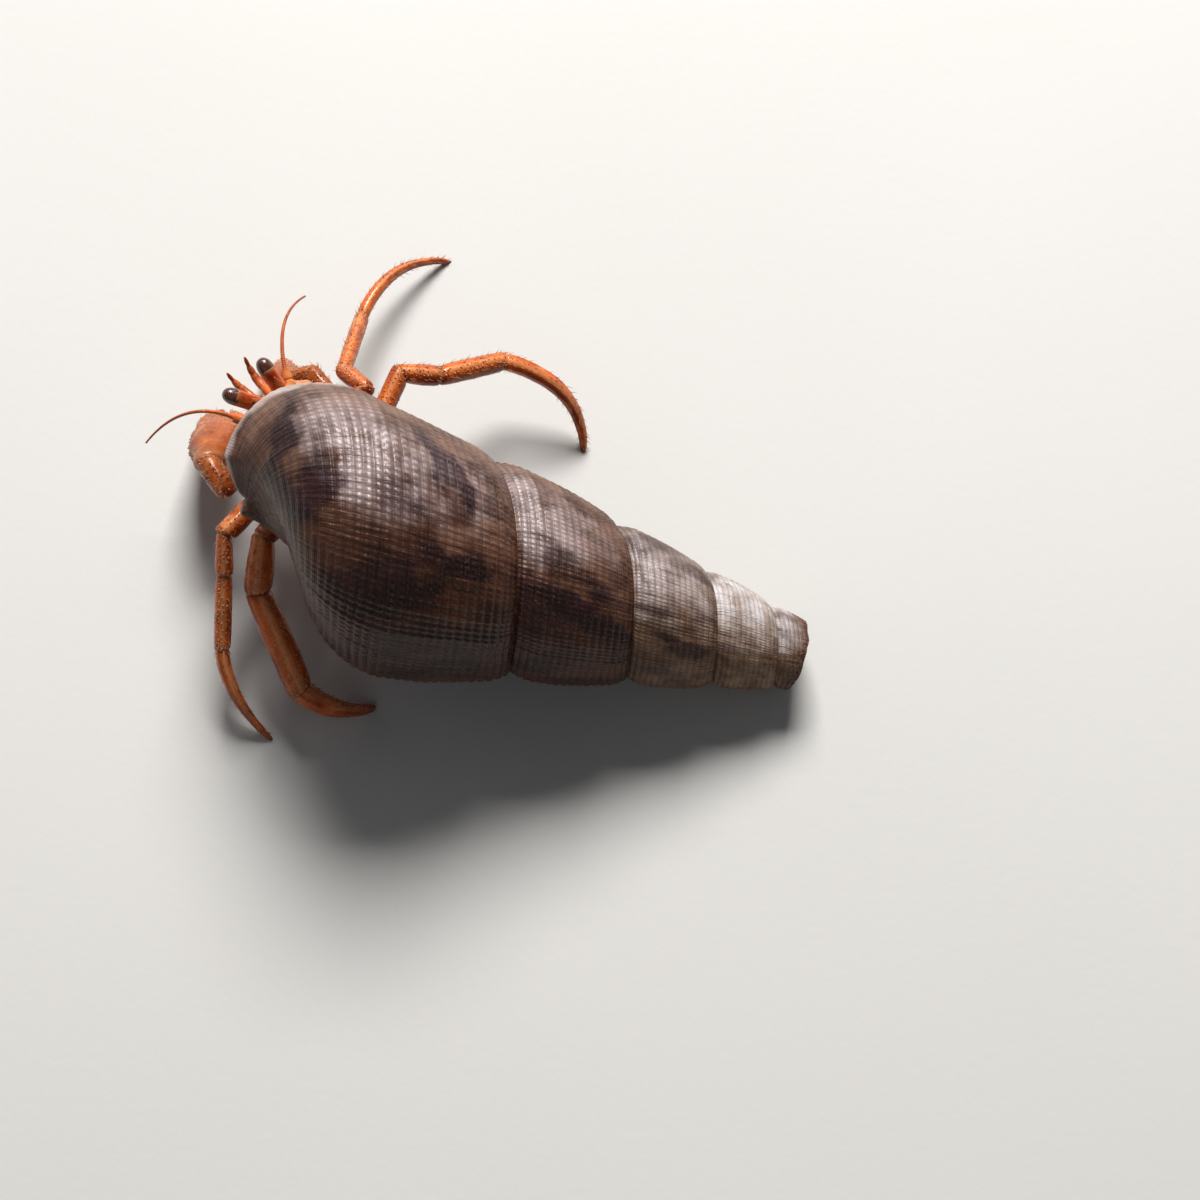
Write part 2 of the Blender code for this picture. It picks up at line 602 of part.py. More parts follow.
def build_feelers():
    """Antennules, antennae and the outer mouthparts, mirrored."""
    front = Vector((0.0, -1.0, 0.0))
    shield_face = SHIELD_FRONT - GAP
    thorax_face = THORAX_FRONT - GAP
    for side, sign in (("left", 1), ("right", -1)):
        for name, (root, middle, end), face, radii, colour in (
                ("antennule_", ANTENNULE, shield_face, ANTENNULE_RADII, RED_ORANGE),
                ("maxilliped_", MAXILLIPED, thorax_face, MAXILLIPED_RADII, PALE_ORANGE)):
            start = Vector((root[0] * sign, face, root[1]))
            path = arc_points(start, mirrored(middle, sign), mirrored(end, sign), radii)
            build_feeler(name + side, path, radii, front, colour)
        root = Vector((ANTENNA_ROOT[0] * sign, thorax_face, ANTENNA_ROOT[1]))
        bend = mirrored(ANTENNA_BEND, sign)
        along = (bend - root).normalized()
        last = len(ANTENNA_BASE_RADII) - 1
        path = [root.lerp(bend, i / last) for i in range(last + 1)]
        build_feeler("antenna_%s_base" % side, path, ANTENNA_BASE_RADII, front)
        start = bend + along * GAP
        path = arc_points(start, mirrored(WHIP_MIDDLE, sign), mirrored(WHIP_TIP, sign), WHIP_RADII)
        build_feeler("antenna_%s_whip" % side, path, WHIP_RADII, along)


def build_fourth_legs():
    """The small fourth pair of legs, which steady the shell."""
    for side, sign in (("left", 1), ("right", -1)):
        root, elbow, tip = [mirrored(point, sign) for point in FOURTH_LEG]
        path = arc_points(root, elbow, tip, FOURTH_LEG_RADII)
        build_feeler("leg_%s_fourth" % side, path, FOURTH_LEG_RADII, Vector((sign, 0.0, 0.0)), PALE_ORANGE)


clear_scene()
build_shell()
build_thorax()
build_shield()
build_rear()
for eye_side, (stalk_base, stalk_tip) in STALKS.items():
    build_eye(eye_side, stalk_base, stalk_tip)
build_feelers()
build_fourth_legs()
for leg_name, leg_sizes in LEGS.items():
    build_leg(leg_name, leg_sizes)
for claw_name, claw_sizes in CLAWS.items():
    build_claw(claw_name, claw_sizes)
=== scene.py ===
"""The looks of a small land hermit crab walking in a tall-spired snail shell.

Shapes are made in millimetres in the crab's own frame, as the solids are: the crab heads along -Y, +X is its
left side and the floor is z = 0. MODEL_CENTRE is the point of that frame which is the model's origin.
"""

import math

import bpy
import numpy as np
from mathutils import Matrix, Vector


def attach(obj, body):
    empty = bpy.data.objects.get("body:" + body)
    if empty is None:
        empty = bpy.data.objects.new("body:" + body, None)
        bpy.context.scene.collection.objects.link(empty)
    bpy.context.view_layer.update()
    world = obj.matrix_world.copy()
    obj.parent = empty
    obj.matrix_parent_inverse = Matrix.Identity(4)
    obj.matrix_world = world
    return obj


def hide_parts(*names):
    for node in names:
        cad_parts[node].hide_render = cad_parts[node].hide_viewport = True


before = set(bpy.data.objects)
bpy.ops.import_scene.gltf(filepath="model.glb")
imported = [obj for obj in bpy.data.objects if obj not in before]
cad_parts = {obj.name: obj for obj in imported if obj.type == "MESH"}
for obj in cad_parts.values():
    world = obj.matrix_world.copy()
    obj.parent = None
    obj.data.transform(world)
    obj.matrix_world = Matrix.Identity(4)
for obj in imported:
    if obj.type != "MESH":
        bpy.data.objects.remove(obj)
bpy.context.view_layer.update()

MM = 0.001
TAU = 2.0 * math.pi
MODEL_CENTRE = np.array((-1.0435, 10.323, 0.0))
UP = np.array((0.0, 0.0, 1.0))
FORWARD = np.array((0.0, -1.0, 0.0))
LEFT = np.array((1.0, 0.0, 0.0))

# The shell: a log spiral about an axis that slopes down towards the tip.
SHELL_FRONT = np.array((5.8, 1.15, 9.58))
SHELL_HEADING, SHELL_SLOPE = math.radians(124.2), math.radians(15.6)
SHELL_LEVEL = np.array((math.cos(SHELL_HEADING), math.sin(SHELL_HEADING), 0.0))
AXIS = SHELL_LEVEL * math.cos(SHELL_SLOPE) - UP * math.sin(SHELL_SLOPE)
RIGHT = np.cross(UP, SHELL_LEVEL)
TOP = np.cross(AXIS, RIGHT)
APEX = np.array((37.2, 0.0))      # pairs are places along the axis and distances from it
WORN_TIP = 29.7
WHORL_RATIO = 0.73
TURNS = 5
LIP_CLOCK = math.radians(74.0)
SUTURE_AT, SUTURE_RADIUS = 12.2, 5.15
WHORL_END = APEX[0] - (APEX[0] - SUTURE_AT) / WHORL_RATIO
PERIPHERY_AT, PERIPHERY_RADIUS = 4.9, 7.4
SIDE_TAPER, SIDE_BULGE = 0.24, 0.22
SHOULDER_WIDTH, SHOULDER_DROP = 1.3, 0.45
BASE_END_AT, BASE_END_RADIUS = -0.55, 2.2
PILLAR_TIP = np.array((1.0, 0.42))
PILLAR_ROUNDING = 0.9
PILLAR_FLARE = 1.6
LIP_TUCK = 0.6
TUCK_ANGLE = math.radians(58.0)
TUCK_POWER = 1.6
TUCK_FRONT = 1.0
TUCK_RADII = (3.5, 5.5)

# The fine form of the shell.
TURN_COLUMNS = 720
SIDE_ROWS, BASE_ROWS, PILLAR_ROWS = 100, 62, 20
TIP_RINGS = 8
LUMEN_TURN = math.radians(170.0)
LUMEN_COLUMNS = 60
CORD_SPACING = 0.5             # at the lip
CORD_THINNING = 0.45            # how much the cords keep their spacing on smaller whorls
CORD_HEIGHT = 0.05
BEADS_PER_TURN = 120
BEAD_HEIGHT = 0.016
GROWTH_HEIGHT = 0.03
GROOVE_WIDTH = 0.15             # of the cord spacing
GROWTH_RESTS = ((-0.006, 0.1), (-0.36, 0.04), (-1.62, 0.03))  # turns before the lip, and height
REST_WIDTH = 0.008
LIP_THICKNESS = 0.3
LIP_BULGE = 0.014
CALLUS_THICKNESS = 0.12
APERTURE_CENTRE = np.array((5.4, 4.25))

# Dark marks: turns before the lip, share of the outline, half sizes in each, lean and strength.
BLOTCHES = ((-0.13, 1.42, 0.046, 0.24, 0.3, 1.0), (-0.185, 1.19, 0.038, 0.17, 0.0, 0.95),
            (-0.22, 1.42, 0.042, 0.2, 0.0, 0.95), (-0.148, 0.44, 0.034, 0.19, -0.3, 1.0),
            (-0.2, 0.76, 0.026, 0.18, 0.0, 0.75), (-0.165, 0.16, 0.024, 0.11, 0.0, 0.7),
            (-0.3, 0.85, 0.045, 0.35, 0.1, 0.75), (-0.4, 0.62, 0.06, 0.4, 0.0, 0.85),
            (-0.37, 0.18, 0.045, 0.2, 0.0, 0.7), (-0.44, 1.2, 0.08, 0.35, 0.0, 0.8),
            (-0.6, 0.7, 0.05, 0.6, 0.05, 0.8), (-0.74, 0.5, 0.04, 0.5, 0.1, 0.8),
            (-0.86, 0.8, 0.04, 0.45, 0.1, 0.8), (-1.285, 0.45, 0.026, 0.6, -0.085, 1.0),
            (-1.207, 0.68, 0.026, 0.22, 0.0, 0.8), (-1.235, 0.33, 0.02, 0.16, 0.0, 0.7),
            (-1.4, 0.75, 0.03, 0.35, 0.05, 0.75), (-1.55, 0.5, 0.05, 0.5, 0.1, 0.8),
            (-1.8, 0.5, 0.05, 0.5, 0.1, 0.8), (-2.05, 0.6, 0.04, 0.4, 0.1, 0.6),
            (-2.243, 0.83, 0.018, 0.22, 0.0, 0.75), (-2.31, 0.36, 0.02, 0.26, 0.05, 0.75),
            (-2.29, 0.62, 0.014, 0.24, 0.0, 0.8), (-2.5, 0.5, 0.04, 0.4, 0.1, 0.5),
            (-3.29, 0.85, 0.02, 0.25, 0.0, 0.4))
SPOTS = ((-0.257, 0.41, 0.018, 0.19, 0.0, 1.0), (-0.315, 0.75, 0.022, 0.28, 0.1, 1.0),
         (-0.125, 1.44, 0.022, 0.15, 0.3, 0.85), (-0.4, 0.3, 0.02, 0.15, 0.0, 0.8),
         (-1.262, 0.74, 0.016, 0.26, 0.0, 0.9), (-1.3, 0.3, 0.012, 0.24, -0.06, 0.9))
# Painted light: the way the side painted paler faces (towards the key light), and the way a painted highlight
# faces, halfway between the camera and the key light.
PAINTED_LIGHT_SIDE = np.array((-0.5, -0.5, 0.707))
PAINTED_HIGHLIGHT_SIDE = np.array((-0.27, -0.22, 0.937))

# The body. A row of an oval is its middle, half width, half height and tilt in degrees.
THORAX_HALF_WIDTH = 1.55
THORAX_BOTTOM, THORAX_TOP = 4.5, 6.4
THORAX_FRONT, THORAX_BACK = -1.3, 4.5
SHIELD_FRONT, SHIELD_BACK = -1.35, 3.2
SHIELD_HALF_WIDTH = 2.25
SHIELD_TOP = 8.6
ROOT_HEIGHT = 5.35
CLAW_ROOT, FRONT_ROOT, REAR_ROOT = -0.55, 1.05, 2.55
THORAX_FORM = ((THORAX_FRONT, 0.8, 0.55), (-1.05, 0.97, 0.25), (-0.6, 1.0, 0.08), (1.4, 1.0, 0.0),
               (3.1, 1.0, 0.1), (4.1, 1.0, 0.45), (THORAX_BACK, 0.7, 0.75))  # place, width and lift
SHIELD_FORM = ((SHIELD_FRONT, 0.66, 0.16), (-1.0, 0.84, 0.06), (0.2, 0.97, 0.0), (1.6, 1.0, 0.0),
               (2.7, 0.94, 0.08), (SHIELD_BACK, 0.82, 0.22))  # place, width and drop
SHIELD_ROWS = 80
SHIELD_CAP = ((0.96, 0.05), (0.86, 0.07), (0.5, 0.05))
# Swellings of the soft skin under limbs and feelers: centre and radii.
SOCKETS = (*(((THORAX_HALF_WIDTH - 0.05, root, ROOT_HEIGHT), (0.34, 0.62, 0.62))
             for root in (CLAW_ROOT, FRONT_ROOT, REAR_ROOT)),
           ((1.75, 3.75, 5.85), (0.35, 0.42, 0.42)), ((0.42, THORAX_FRONT, 5.15), (0.38, 0.34, 0.4)),
           ((1.0, THORAX_FRONT, 5.85), (0.36, 0.32, 0.36)))
UNDER_SHIELD_RING, SHIELD_REAR_RING = (0.0, 2.6, 7.3, 1.6, 0.9, 0.0), (0.0, 3.5, 7.6, 1.85, 0.9, 0.0)
CARAPACE_REAR = (SHIELD_REAR_RING, (-0.15, 4.1, 7.85, 1.95, 1.15, 0.0), (-0.35, 4.8, 8.15, 1.8, 1.2, 0.0))
BELLY = ((-0.45, 5.1, 8.2, 1.6, 1.1, 0.0), (-0.8, 5.5, 8.85, 1.65, 1.3, 35.0),
         (-1.0, 5.85, 9.8, 1.65, 1.35, 60.0), (-0.9, 6.35, 11.0, 1.45, 1.2, 60.0))

# Legs and claws: the side, where the root lies, the half depth of each segment and the joints' places.
LEGS = {
    "leg_left_front": {
        "side": 1, "root_y": FRONT_ROOT, "depths": (0.58, 0.62, 0.52, 0.5, 0.42),
        "hip": (2.75, 1.1, 5.45), "knee": (6.24, 1.34, 5.9), "wrist": (7.5, 2.55, 4.8),
        "ankle": (9.9, 4.75, 2.9), "bend": (10.85, 6.6, 1.7), "tip": (10.9, 8.95, 0.0)},
    "leg_left_rear": {
        "side": 1, "root_y": REAR_ROOT, "depths": (0.58, 0.66, 0.8, 0.84, 0.66),
        "hip": (2.7, 2.75, 5.7), "knee": (5.15, 3.05, 6.75), "wrist": (6.95, 4.35, 4.9),
        "ankle": (8.55, 8.9, 2.6), "bend": (7.85, 10.5, 1.65), "tip": (6.25, 11.4, 0.0)},
    "leg_right_front": {
        "side": -1, "root_y": FRONT_ROOT, "depths": (0.58, 0.58, 0.52, 0.46, 0.38),
        "hip": (-2.65, 0.8, 5.6), "knee": (-3.75, 1.1, 7.15), "wrist": (-3.95, -0.75, 5.5),
        "ankle": (-7.2, -2.9, 2.95), "bend": (-10.4, -3.7, 1.95), "tip": (-13.1, -2.8, 0.0)},
    "leg_right_rear": {
        "side": -1, "root_y": REAR_ROOT, "depths": (0.58, 0.6, 0.6, 0.6, 0.52),
        "hip": (-2.75, 2.55, 5.3), "knee": (-5.8, 1.4, 5.8), "wrist": (-7.22, 2.68, 5.1),
        "ankle": (-10.36, 3.99, 3.7), "bend": (-11.61, 6.99, 2.4), "tip": (-10.8, 9.2, 0.0)},
}
CLAWS = {
    "claw_left": {
        "side": 1, "root_y": CLAW_ROOT, "depths": (0.6, 0.66, 0.72), "breadth": 1.35, "thickness": 1.05,
        "hip": (2.6, -0.7, 5.3), "elbow": (4.4, -0.7, 5.05), "wrist": (4.05, -2.15, 4.9),
        "tip": (0.5, -4.8, 0.0), "across": (-0.64, 0.75, 0.08)},
    "claw_right": {
        "side": -1, "root_y": CLAW_ROOT, "depths": (0.52, 0.52, 0.52), "breadth": 0.85, "thickness": 0.68,
        "hip": (-2.75, -0.7, 5.25), "elbow": (-2.85, -1.95, 5.05), "wrist": (-2.0, -2.7, 4.1),
        "tip": (-2.7, -5.0, 0.0), "across": (0.95, -0.2, -0.1)},
}
PALM_SHARE = 0.6
LIMB_ROWS = 44
LIMB_SIDES = 40
DACTYL_ROWS = 70
PALM_SIDES = 56
JOINT_GAP = 0.06
KNEE_ROUND = 0.84
HAIR_RADIUS = 0.02
HAIR_RINGS = 5
HAIR_PATCH = 0.003
MAP_TILES, MAP_TILE = 7, 0.13    # tiles along each side of the bristles' map, and their size

# The half depth along each kind of segment, against its depth.
SEGMENT_FORMS = {
    "base": ((0.0, 0.8), (0.1, 0.93), (0.36, 1.0), (0.44, 0.9), (0.52, 0.99), (0.8, 1.0), (0.95, 0.9),
             (1.0, 0.82)),
    "merus": ((0.0, 0.68), (0.07, 0.84), (0.2, 0.95), (0.5, 1.0), (0.78, 1.02), (0.9, 0.97), (0.96, 0.88),
              (1.0, 0.76)),
    "carpus": ((0.0, 0.68), (0.1, 0.84), (0.3, 0.94), (0.6, 1.02), (0.82, 1.01), (0.92, 0.92), (1.0, 0.74)),
    "propodus": ((0.0, 0.7), (0.07, 0.87), (0.2, 0.98), (0.45, 1.02), (0.75, 0.99), (0.9, 0.93),
                 (0.96, 0.86), (1.0, 0.76))}
DACTYL_FORM = ((0.0, 0.84), (0.06, 0.96), (0.14, 1.0), (0.3, 0.95), (0.5, 0.82), (0.68, 0.66), (0.83, 0.48),
               (0.94, 0.32))
DACTYL_END = 0.1
# A segment's soft neck and the cup at its end: size, and distance past the end, against its depth.
NECK = ((0.97, 0.05), (0.9, 0.085), (0.78, 0.08), (0.66, 0.09), (0.68, 0.17), (0.61, 0.24), (0.65, 0.32),
        (0.58, 0.4), (0.62, 0.48), (0.52, 0.58), (0.28, 0.66))
CUP = ((0.985, 0.035), (0.93, 0.045), (0.86, 0.0), (0.82, -0.12), (0.78, -0.4), (0.4, -0.55))
TIP_CAP = ((0.7, 0.015), (0.3, 0.02))
# A claw's palm: share of the length, shift, half breadth and half thickness, and its fingers without a shift.
PALM_FORM = ((0.0, 0.0, 0.44, 0.52), (0.04, 0.0, 0.56, 0.68), (0.12, 0.0, 0.72, 0.84),
             (0.28, 0.0, 0.94, 1.0), (0.46, 0.0, 1.0, 1.0), (0.56, 0.0, 0.98, 0.92),
             (0.6, -0.02, 0.95, 0.86))
FINGERS = ((0.0, 0.42, 0.66), (0.2, 0.41, 0.62), (0.45, 0.36, 0.52), (0.8, 0.22, 0.32), (0.93, 0.13, 0.2))
FINGER_GAP = 0.165
FINGER_TIP = 0.13
FINGER_NECK = ((0.9, 0.05), (0.7, 0.12), (0.3, 0.16))
# The palm with its fixed finger, and the moving finger. inner is the turn of the edge that faces the other.
CLAW_PARTS = {
    "palm": {"rings": 110, "neck": NECK, "inner": 0.0, "finger": (PALM_SHARE + 0.06, PALM_SHARE + 0.12),
             "teeth": 34, "horn": (0.9, 0.97), "grains": 260, "edges": (0.0, 0.5), "edge": (0.1, 0.55),
             "fringe": (0.62, 0.97)},
    "finger": {"rings": 70, "neck": FINGER_NECK, "inner": 0.5, "finger": (0.1, 0.2),
               "teeth": 15, "horn": (0.8, 0.93), "grains": 90, "edges": (0.0,), "edge": (0.1, 0.85),
               "fringe": (0.2, 0.97)}}

# The head. Feelers go from a root through a middle to an end, and their forms are (share, radius) pairs.
STALK_RADIUS = 0.46
EYE_LENGTH = 0.62
STALKS = {"left": ((0.52, SHIELD_FRONT + 0.05, 7.65), (1.75, -3.2, 8.7)),
          "right": ((-0.52, SHIELD_FRONT + 0.05, 7.65), (-0.75, -3.2, 8.7))}
STALK_FORM = ((0.0, 0.8), (0.12, 0.98), (0.3, 1.0), (0.6, 0.93), (0.85, 0.99), (1.0, 1.0))
STALK_CAP = ((0.97, 0.03), (0.8, 0.05), (0.4, 0.05))
SCALE_FORM = ((0.0, 0.26, 0.1), (0.25, 0.25, 0.1), (0.6, 0.17, 0.07), (0.9, 0.07, 0.04), (1.0, 0.02, 0.02))
ANTENNULE = ((0.28, SHIELD_FRONT - 0.05, 6.98), (0.42, -3.1, 6.3), (0.6, -4.2, 7.3))
ANTENNULE_FORM = ((0.0, 0.25), (0.3, 0.24), (0.36, 0.2), (0.42, 0.23), (0.62, 0.22), (0.67, 0.17),
                  (0.72, 0.19), (0.8, 0.15), (0.84, 0.1), (0.92, 0.11), (1.0, 0.05))
ANTENNA_ROOT = np.array((1.0, THORAX_FRONT - 0.05, 5.85))
ANTENNA_BEND = np.array((1.75, -2.6, 6.35))
ANTENNA_FORM = ((0.0, 0.33), (0.2, 0.37), (0.3, 0.3), (0.36, 0.36), (0.6, 0.34), (0.66, 0.27), (0.72, 0.31),
                (1.0, 0.26))
WHIP_MIDDLE = (3.4, -4.3, 6.7)
WHIP_TIP = (5.5, -5.1, 5.0)
MAXILLIPED = ((0.42, THORAX_FRONT - 0.02, 5.15), (0.44, -2.4, 4.85), (0.42, -2.75, 3.9))
MAXILLIPED_FORM = ((0.0, 0.31), (0.15, 0.34), (0.28, 0.27), (0.35, 0.33), (0.55, 0.33), (0.62, 0.25),
                   (0.68, 0.3), (0.82, 0.26), (1.0, 0.15))
FOURTH_LEG = ((1.85, 3.75, 5.8), (2.95, 4.25, 6.6), (2.5, 3.9, 7.9))
FOURTH_LEG_FORM = ((0.0, 0.3), (0.12, 0.34), (0.28, 0.33), (0.33, 0.27), (0.4, 0.32), (0.6, 0.33),
                   (0.66, 0.26), (0.74, 0.31), (0.88, 0.26), (1.0, 0.14))

# The picture: where the camera looks, and from where.
CAMERA_ANGLES = (135.0, 72.0)
CAMERA_TARGET = Vector((-0.0047265, 0.00512, 0.0))
CAMERA_DISTANCE = 0.3
CAMERA_LENS = 180.0
FLOOR_HALF_SIZE = 1.5
# Lights: azimuth, elevation, distance, size, energy and colour.
LIGHTS = {"key": (-50.0, 46.0, 0.32, 0.13, 1.85, (1.0, 0.985, 0.965)),
          "fill": (120.0, 40.0, 0.4, 0.3, 0.08, (0.92, 0.96, 1.0)),
          "front": (10.0, 22.0, 0.35, 0.25, 0.08, (1.0, 0.98, 0.95))}

# RED_ORANGE, the limbs' deep colour, also serves as painted shade on their undersides.
ORANGE = (0.56, 0.1, 0.008)
RED_ORANGE = (0.215, 0.017, 0.002)
PALE_ORANGE = (0.76, 0.32, 0.095)
HORN_BROWN = (0.045, 0.014, 0.008)
SKINS = {"limb_skin": (ORANGE, RED_ORANGE), "claw_skin": ((0.36, 0.078, 0.012), (0.16, 0.02, 0.004)),
         "shield_skin": ((0.54, 0.165, 0.036), (0.15, 0.032, 0.01))}


def unit(vector):
    """The vector, or each of an array of vectors, at length one."""
    vector = np.asarray(vector, float)
    return vector / np.maximum(np.linalg.norm(vector, axis=-1, keepdims=True), 1e-12)


def even(count):
    """Evenly spaced shares of a length, from 0 to 1."""
    return np.linspace(0.0, 1.0, count)


def rise(value, low, high):
    """0 at low, 1 at high and a straight rise between."""
    return np.clip((value - low) / (high - low), 0.0, 1.0)


def ramp(value, low, high):
    """0 at low, 1 at high and a smooth rise between."""
    share = rise(value, low, high)
    return share * share * (3.0 - 2.0 * share)


def bell(offset, width):
    """1 where the offset is 0, and a smooth fall on both sides."""
    return np.exp(-(offset / width) ** 2)


def turned_from(turn, other):
    """How far one turn is from another, the short way round."""
    return np.mod(turn - other + 0.5, 1.0) - 0.5


NOISE_CELLS = 32
noise_tables = {}


def noise(points, size, seed=0):
    """Smooth random values between -1 and 1, with bumps about as wide as size."""
    if seed not in noise_tables:
        noise_tables[seed] = np.random.default_rng(seed).uniform(-1.0, 1.0, (NOISE_CELLS,) * 3)
    scaled = np.asarray(points, float) / size
    cell = np.floor(scaled).astype(int)
    part = scaled - cell
    part = part * part * (3.0 - 2.0 * part)
    total = np.zeros(scaled.shape[:-1])
    for corner in np.ndindex(2, 2, 2):
        x, y, z = np.moveaxis((cell + corner) % NOISE_CELLS, -1, 0)
        weight = np.prod(np.where(np.array(corner) == 1, part, 1.0 - part), axis=-1)
        total += weight * noise_tables[seed][x, y, z]
    return total


def bezier(start, through, end, share):
    """Points on the arc that leaves start, passes through the middle point and ends at end."""
    start, through, end = (np.array(point, float) for point in (start, through, end))
    handle = through * 2.0 - (start + end) * 0.5
    share = share[..., None]
    rest = 1.0 - share
    return start * rest * rest + handle * 2.0 * rest * share + end * share * share


def surface_normals(grid, wrap=True):
    """Unit normals of a grid of points, rings first, with the rings closed if wrap is set."""
    around = np.roll(grid, -1, axis=1) - np.roll(grid, 1, axis=1) if wrap else np.gradient(grid, axis=1)
    return unit(np.cross(around, np.gradient(grid, axis=0)))


def ovals(centre, side, up, wide, high, sides=LIMB_SIDES, power=1.0):
    """Rings round a row of centres, from the ways across and up and the half sizes in each."""
    angle = TAU * np.arange(sides) / sides
    level = np.sign(np.cos(angle)) * np.abs(np.cos(angle)) ** power
    side, up = (np.broadcast_to(way, centre.shape)[:, None] for way in (side, up))
    wide, high = (np.broadcast_to(size, len(centre))[:, None] for size in (wide, high))
    return centre[:, None] + side * (wide * level)[..., None] + up * (high * np.sin(angle))[..., None]


def band(table):
    """Quads between neighbouring rows of a table of point numbers."""
    return np.stack((table[:-1, :-1], table[:-1, 1:], table[1:, 1:], table[1:, :-1]), -1).reshape(-1, 4)


def closed_rings(rows, sides):
    """A table of the numbers of points in rings, each ring closed by its first point."""
    index = np.arange(rows * sides).reshape(rows, sides)
    return np.hstack((index, index[:, :1]))


def fill_mesh(mesh, points, faces):
    """Give a mesh its points and faces. A triangle is a face that repeats a corner."""
    keep = faces != np.roll(faces, 1, axis=1)
    size = keep.sum(axis=1)
    mesh.vertices.add(len(points))
    mesh.vertices.foreach_set("co", np.asarray(points, np.float32).ravel())
    mesh.loops.add(int(size.sum()))
    mesh.loops.foreach_set("vertex_index", faces[keep].astype(np.int32))
    mesh.polygons.add(len(faces))
    mesh.polygons.foreach_set("loop_start", np.concatenate(([0], np.cumsum(size)[:-1])).astype(np.int32))
    mesh.update(calc_edges=True)


def add_object(name, data):
    """A new object in the scene."""
    made = bpy.data.objects.new(name, data)
    bpy.context.scene.collection.objects.link(made)
    return made


def make_piece(name, points, faces, look, nodes=(), values={}):
    """A piece of the model from points in millimetres. values holds named numbers for each point."""
    points = np.array(points, float)
    points[:, 2] = np.maximum(points[:, 2], 0.0)
    mesh = bpy.data.meshes.new(name)
    fill_mesh(mesh, (points - MODEL_CENTRE) * MM, faces)
    mesh.shade_smooth()
    for key, data in values.items():
        layer = mesh.attributes.new(key, "FLOAT", "POINT")
        layer.data.foreach_set("value", np.asarray(data, np.float32))
    piece = add_object(name, mesh)
    mesh.materials.append(look)
    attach(piece, "root")
    if nodes:
        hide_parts(*nodes)
    return piece


class Shape:
    """Points, faces and named values that grow part by part into one mesh."""

    def __init__(self):
        self.parts, self.face_parts, self.value_parts = [], [], []
        self.count = 0

    def add(self, points, faces=(), **values):
        """Add a part. Each value is one number or one for each point. Returns the part's first number."""
        points = np.asarray(points, float).reshape(-1, 3)
        start = self.count
        if len(faces):
            self.face_parts.append(np.asarray(faces, int).reshape(-1, 4) + start)
        self.parts.append(points)
        self.value_parts.append({key: np.broadcast_to(data, (len(points),)) for key, data in values.items()})
        self.count += len(points)
        return start

    def tube(self, rings, **values):
        """Add a closed tube through rings of points, with a middle point at each end."""
        rows, sides = rings.shape[:2]
        points = np.concatenate((rings.reshape(-1, 3), [rings[0].mean(axis=0), rings[-1].mean(axis=0)]))
        table = closed_rings(rows, sides)
        first, last = np.full((2, sides), rows * sides) + ((0,), (1,))
        faces = np.concatenate((band(table), np.stack((table[0, :-1], first, first, table[0, 1:]), -1),
                                np.stack((table[-1, :-1], table[-1, 1:], last, last), -1)))
        spread = {key: np.broadcast_to(data, (rows, sides)) for key, data in values.items()}
        self.add(points, faces, **{key: np.concatenate((data.ravel(), [data[0].mean(), data[-1].mean()]))
                                   for key, data in spread.items()})

    def inner_rings(self, rim, rings, centre, **values):
        """Add rings of new points inside a rim of old ones, closed by a middle point."""
        start = self.add(np.concatenate((rings.reshape(-1, 3), [centre])), **values)
        count = rings.shape[0] * rings.shape[1]
        table = np.concatenate((rim[None], start + np.arange(count).reshape(rings.shape[:2])))
        table = np.concatenate((table, table[:, :1]), axis=1)
        middle = np.full(table.shape[1] - 1, start + count)
        self.face_parts += [band(table), np.stack((table[-1, :-1], table[-1, 1:], middle, middle), -1)]

    def arrays(self):
        """All points in use, the faces that haven't shrunk to a line, and all values."""
        keys = sorted({key for part in self.value_parts for key in part})
        values = {key: np.concatenate([part.get(key, np.zeros(len(points))) for part, points
                                       in zip(self.value_parts, self.parts)]) for key in keys}
        points, faces = np.concatenate(self.parts), np.concatenate(self.face_parts)
        order = np.sort(faces, axis=1)
        faces = faces[1 + np.sum(order[:, 1:] != order[:, :-1], axis=1) > 2]
        used = np.zeros(len(points), bool)
        used[faces.ravel()] = True
        number = np.cumsum(used) - 1
        return points[used], number[faces], {key: data[used] for key, data in values.items()}

    def piece(self, name, look, slot, nodes=()):
        """The finished piece, which stands for the node of its name if no other is given."""
        points, faces, values = self.arrays()
        return make_piece(name + "_skin", points, faces, look, nodes or [name], values)


class Value:
    """What a node gives, for sums with other values and numbers."""

    def __init__(self, look, socket):
        self.look = look
        self.socket = socket

    def math(self, operation, other=0.0):
        return self.look.node("Math", {0: self, 1: other}, operation=operation)

    def __mul__(self, other):
        return self.math("MULTIPLY", other)

    def __add__(self, other):
        return self.math("ADD", other)

    def __sub__(self, other):
        return self.math("SUBTRACT", other)


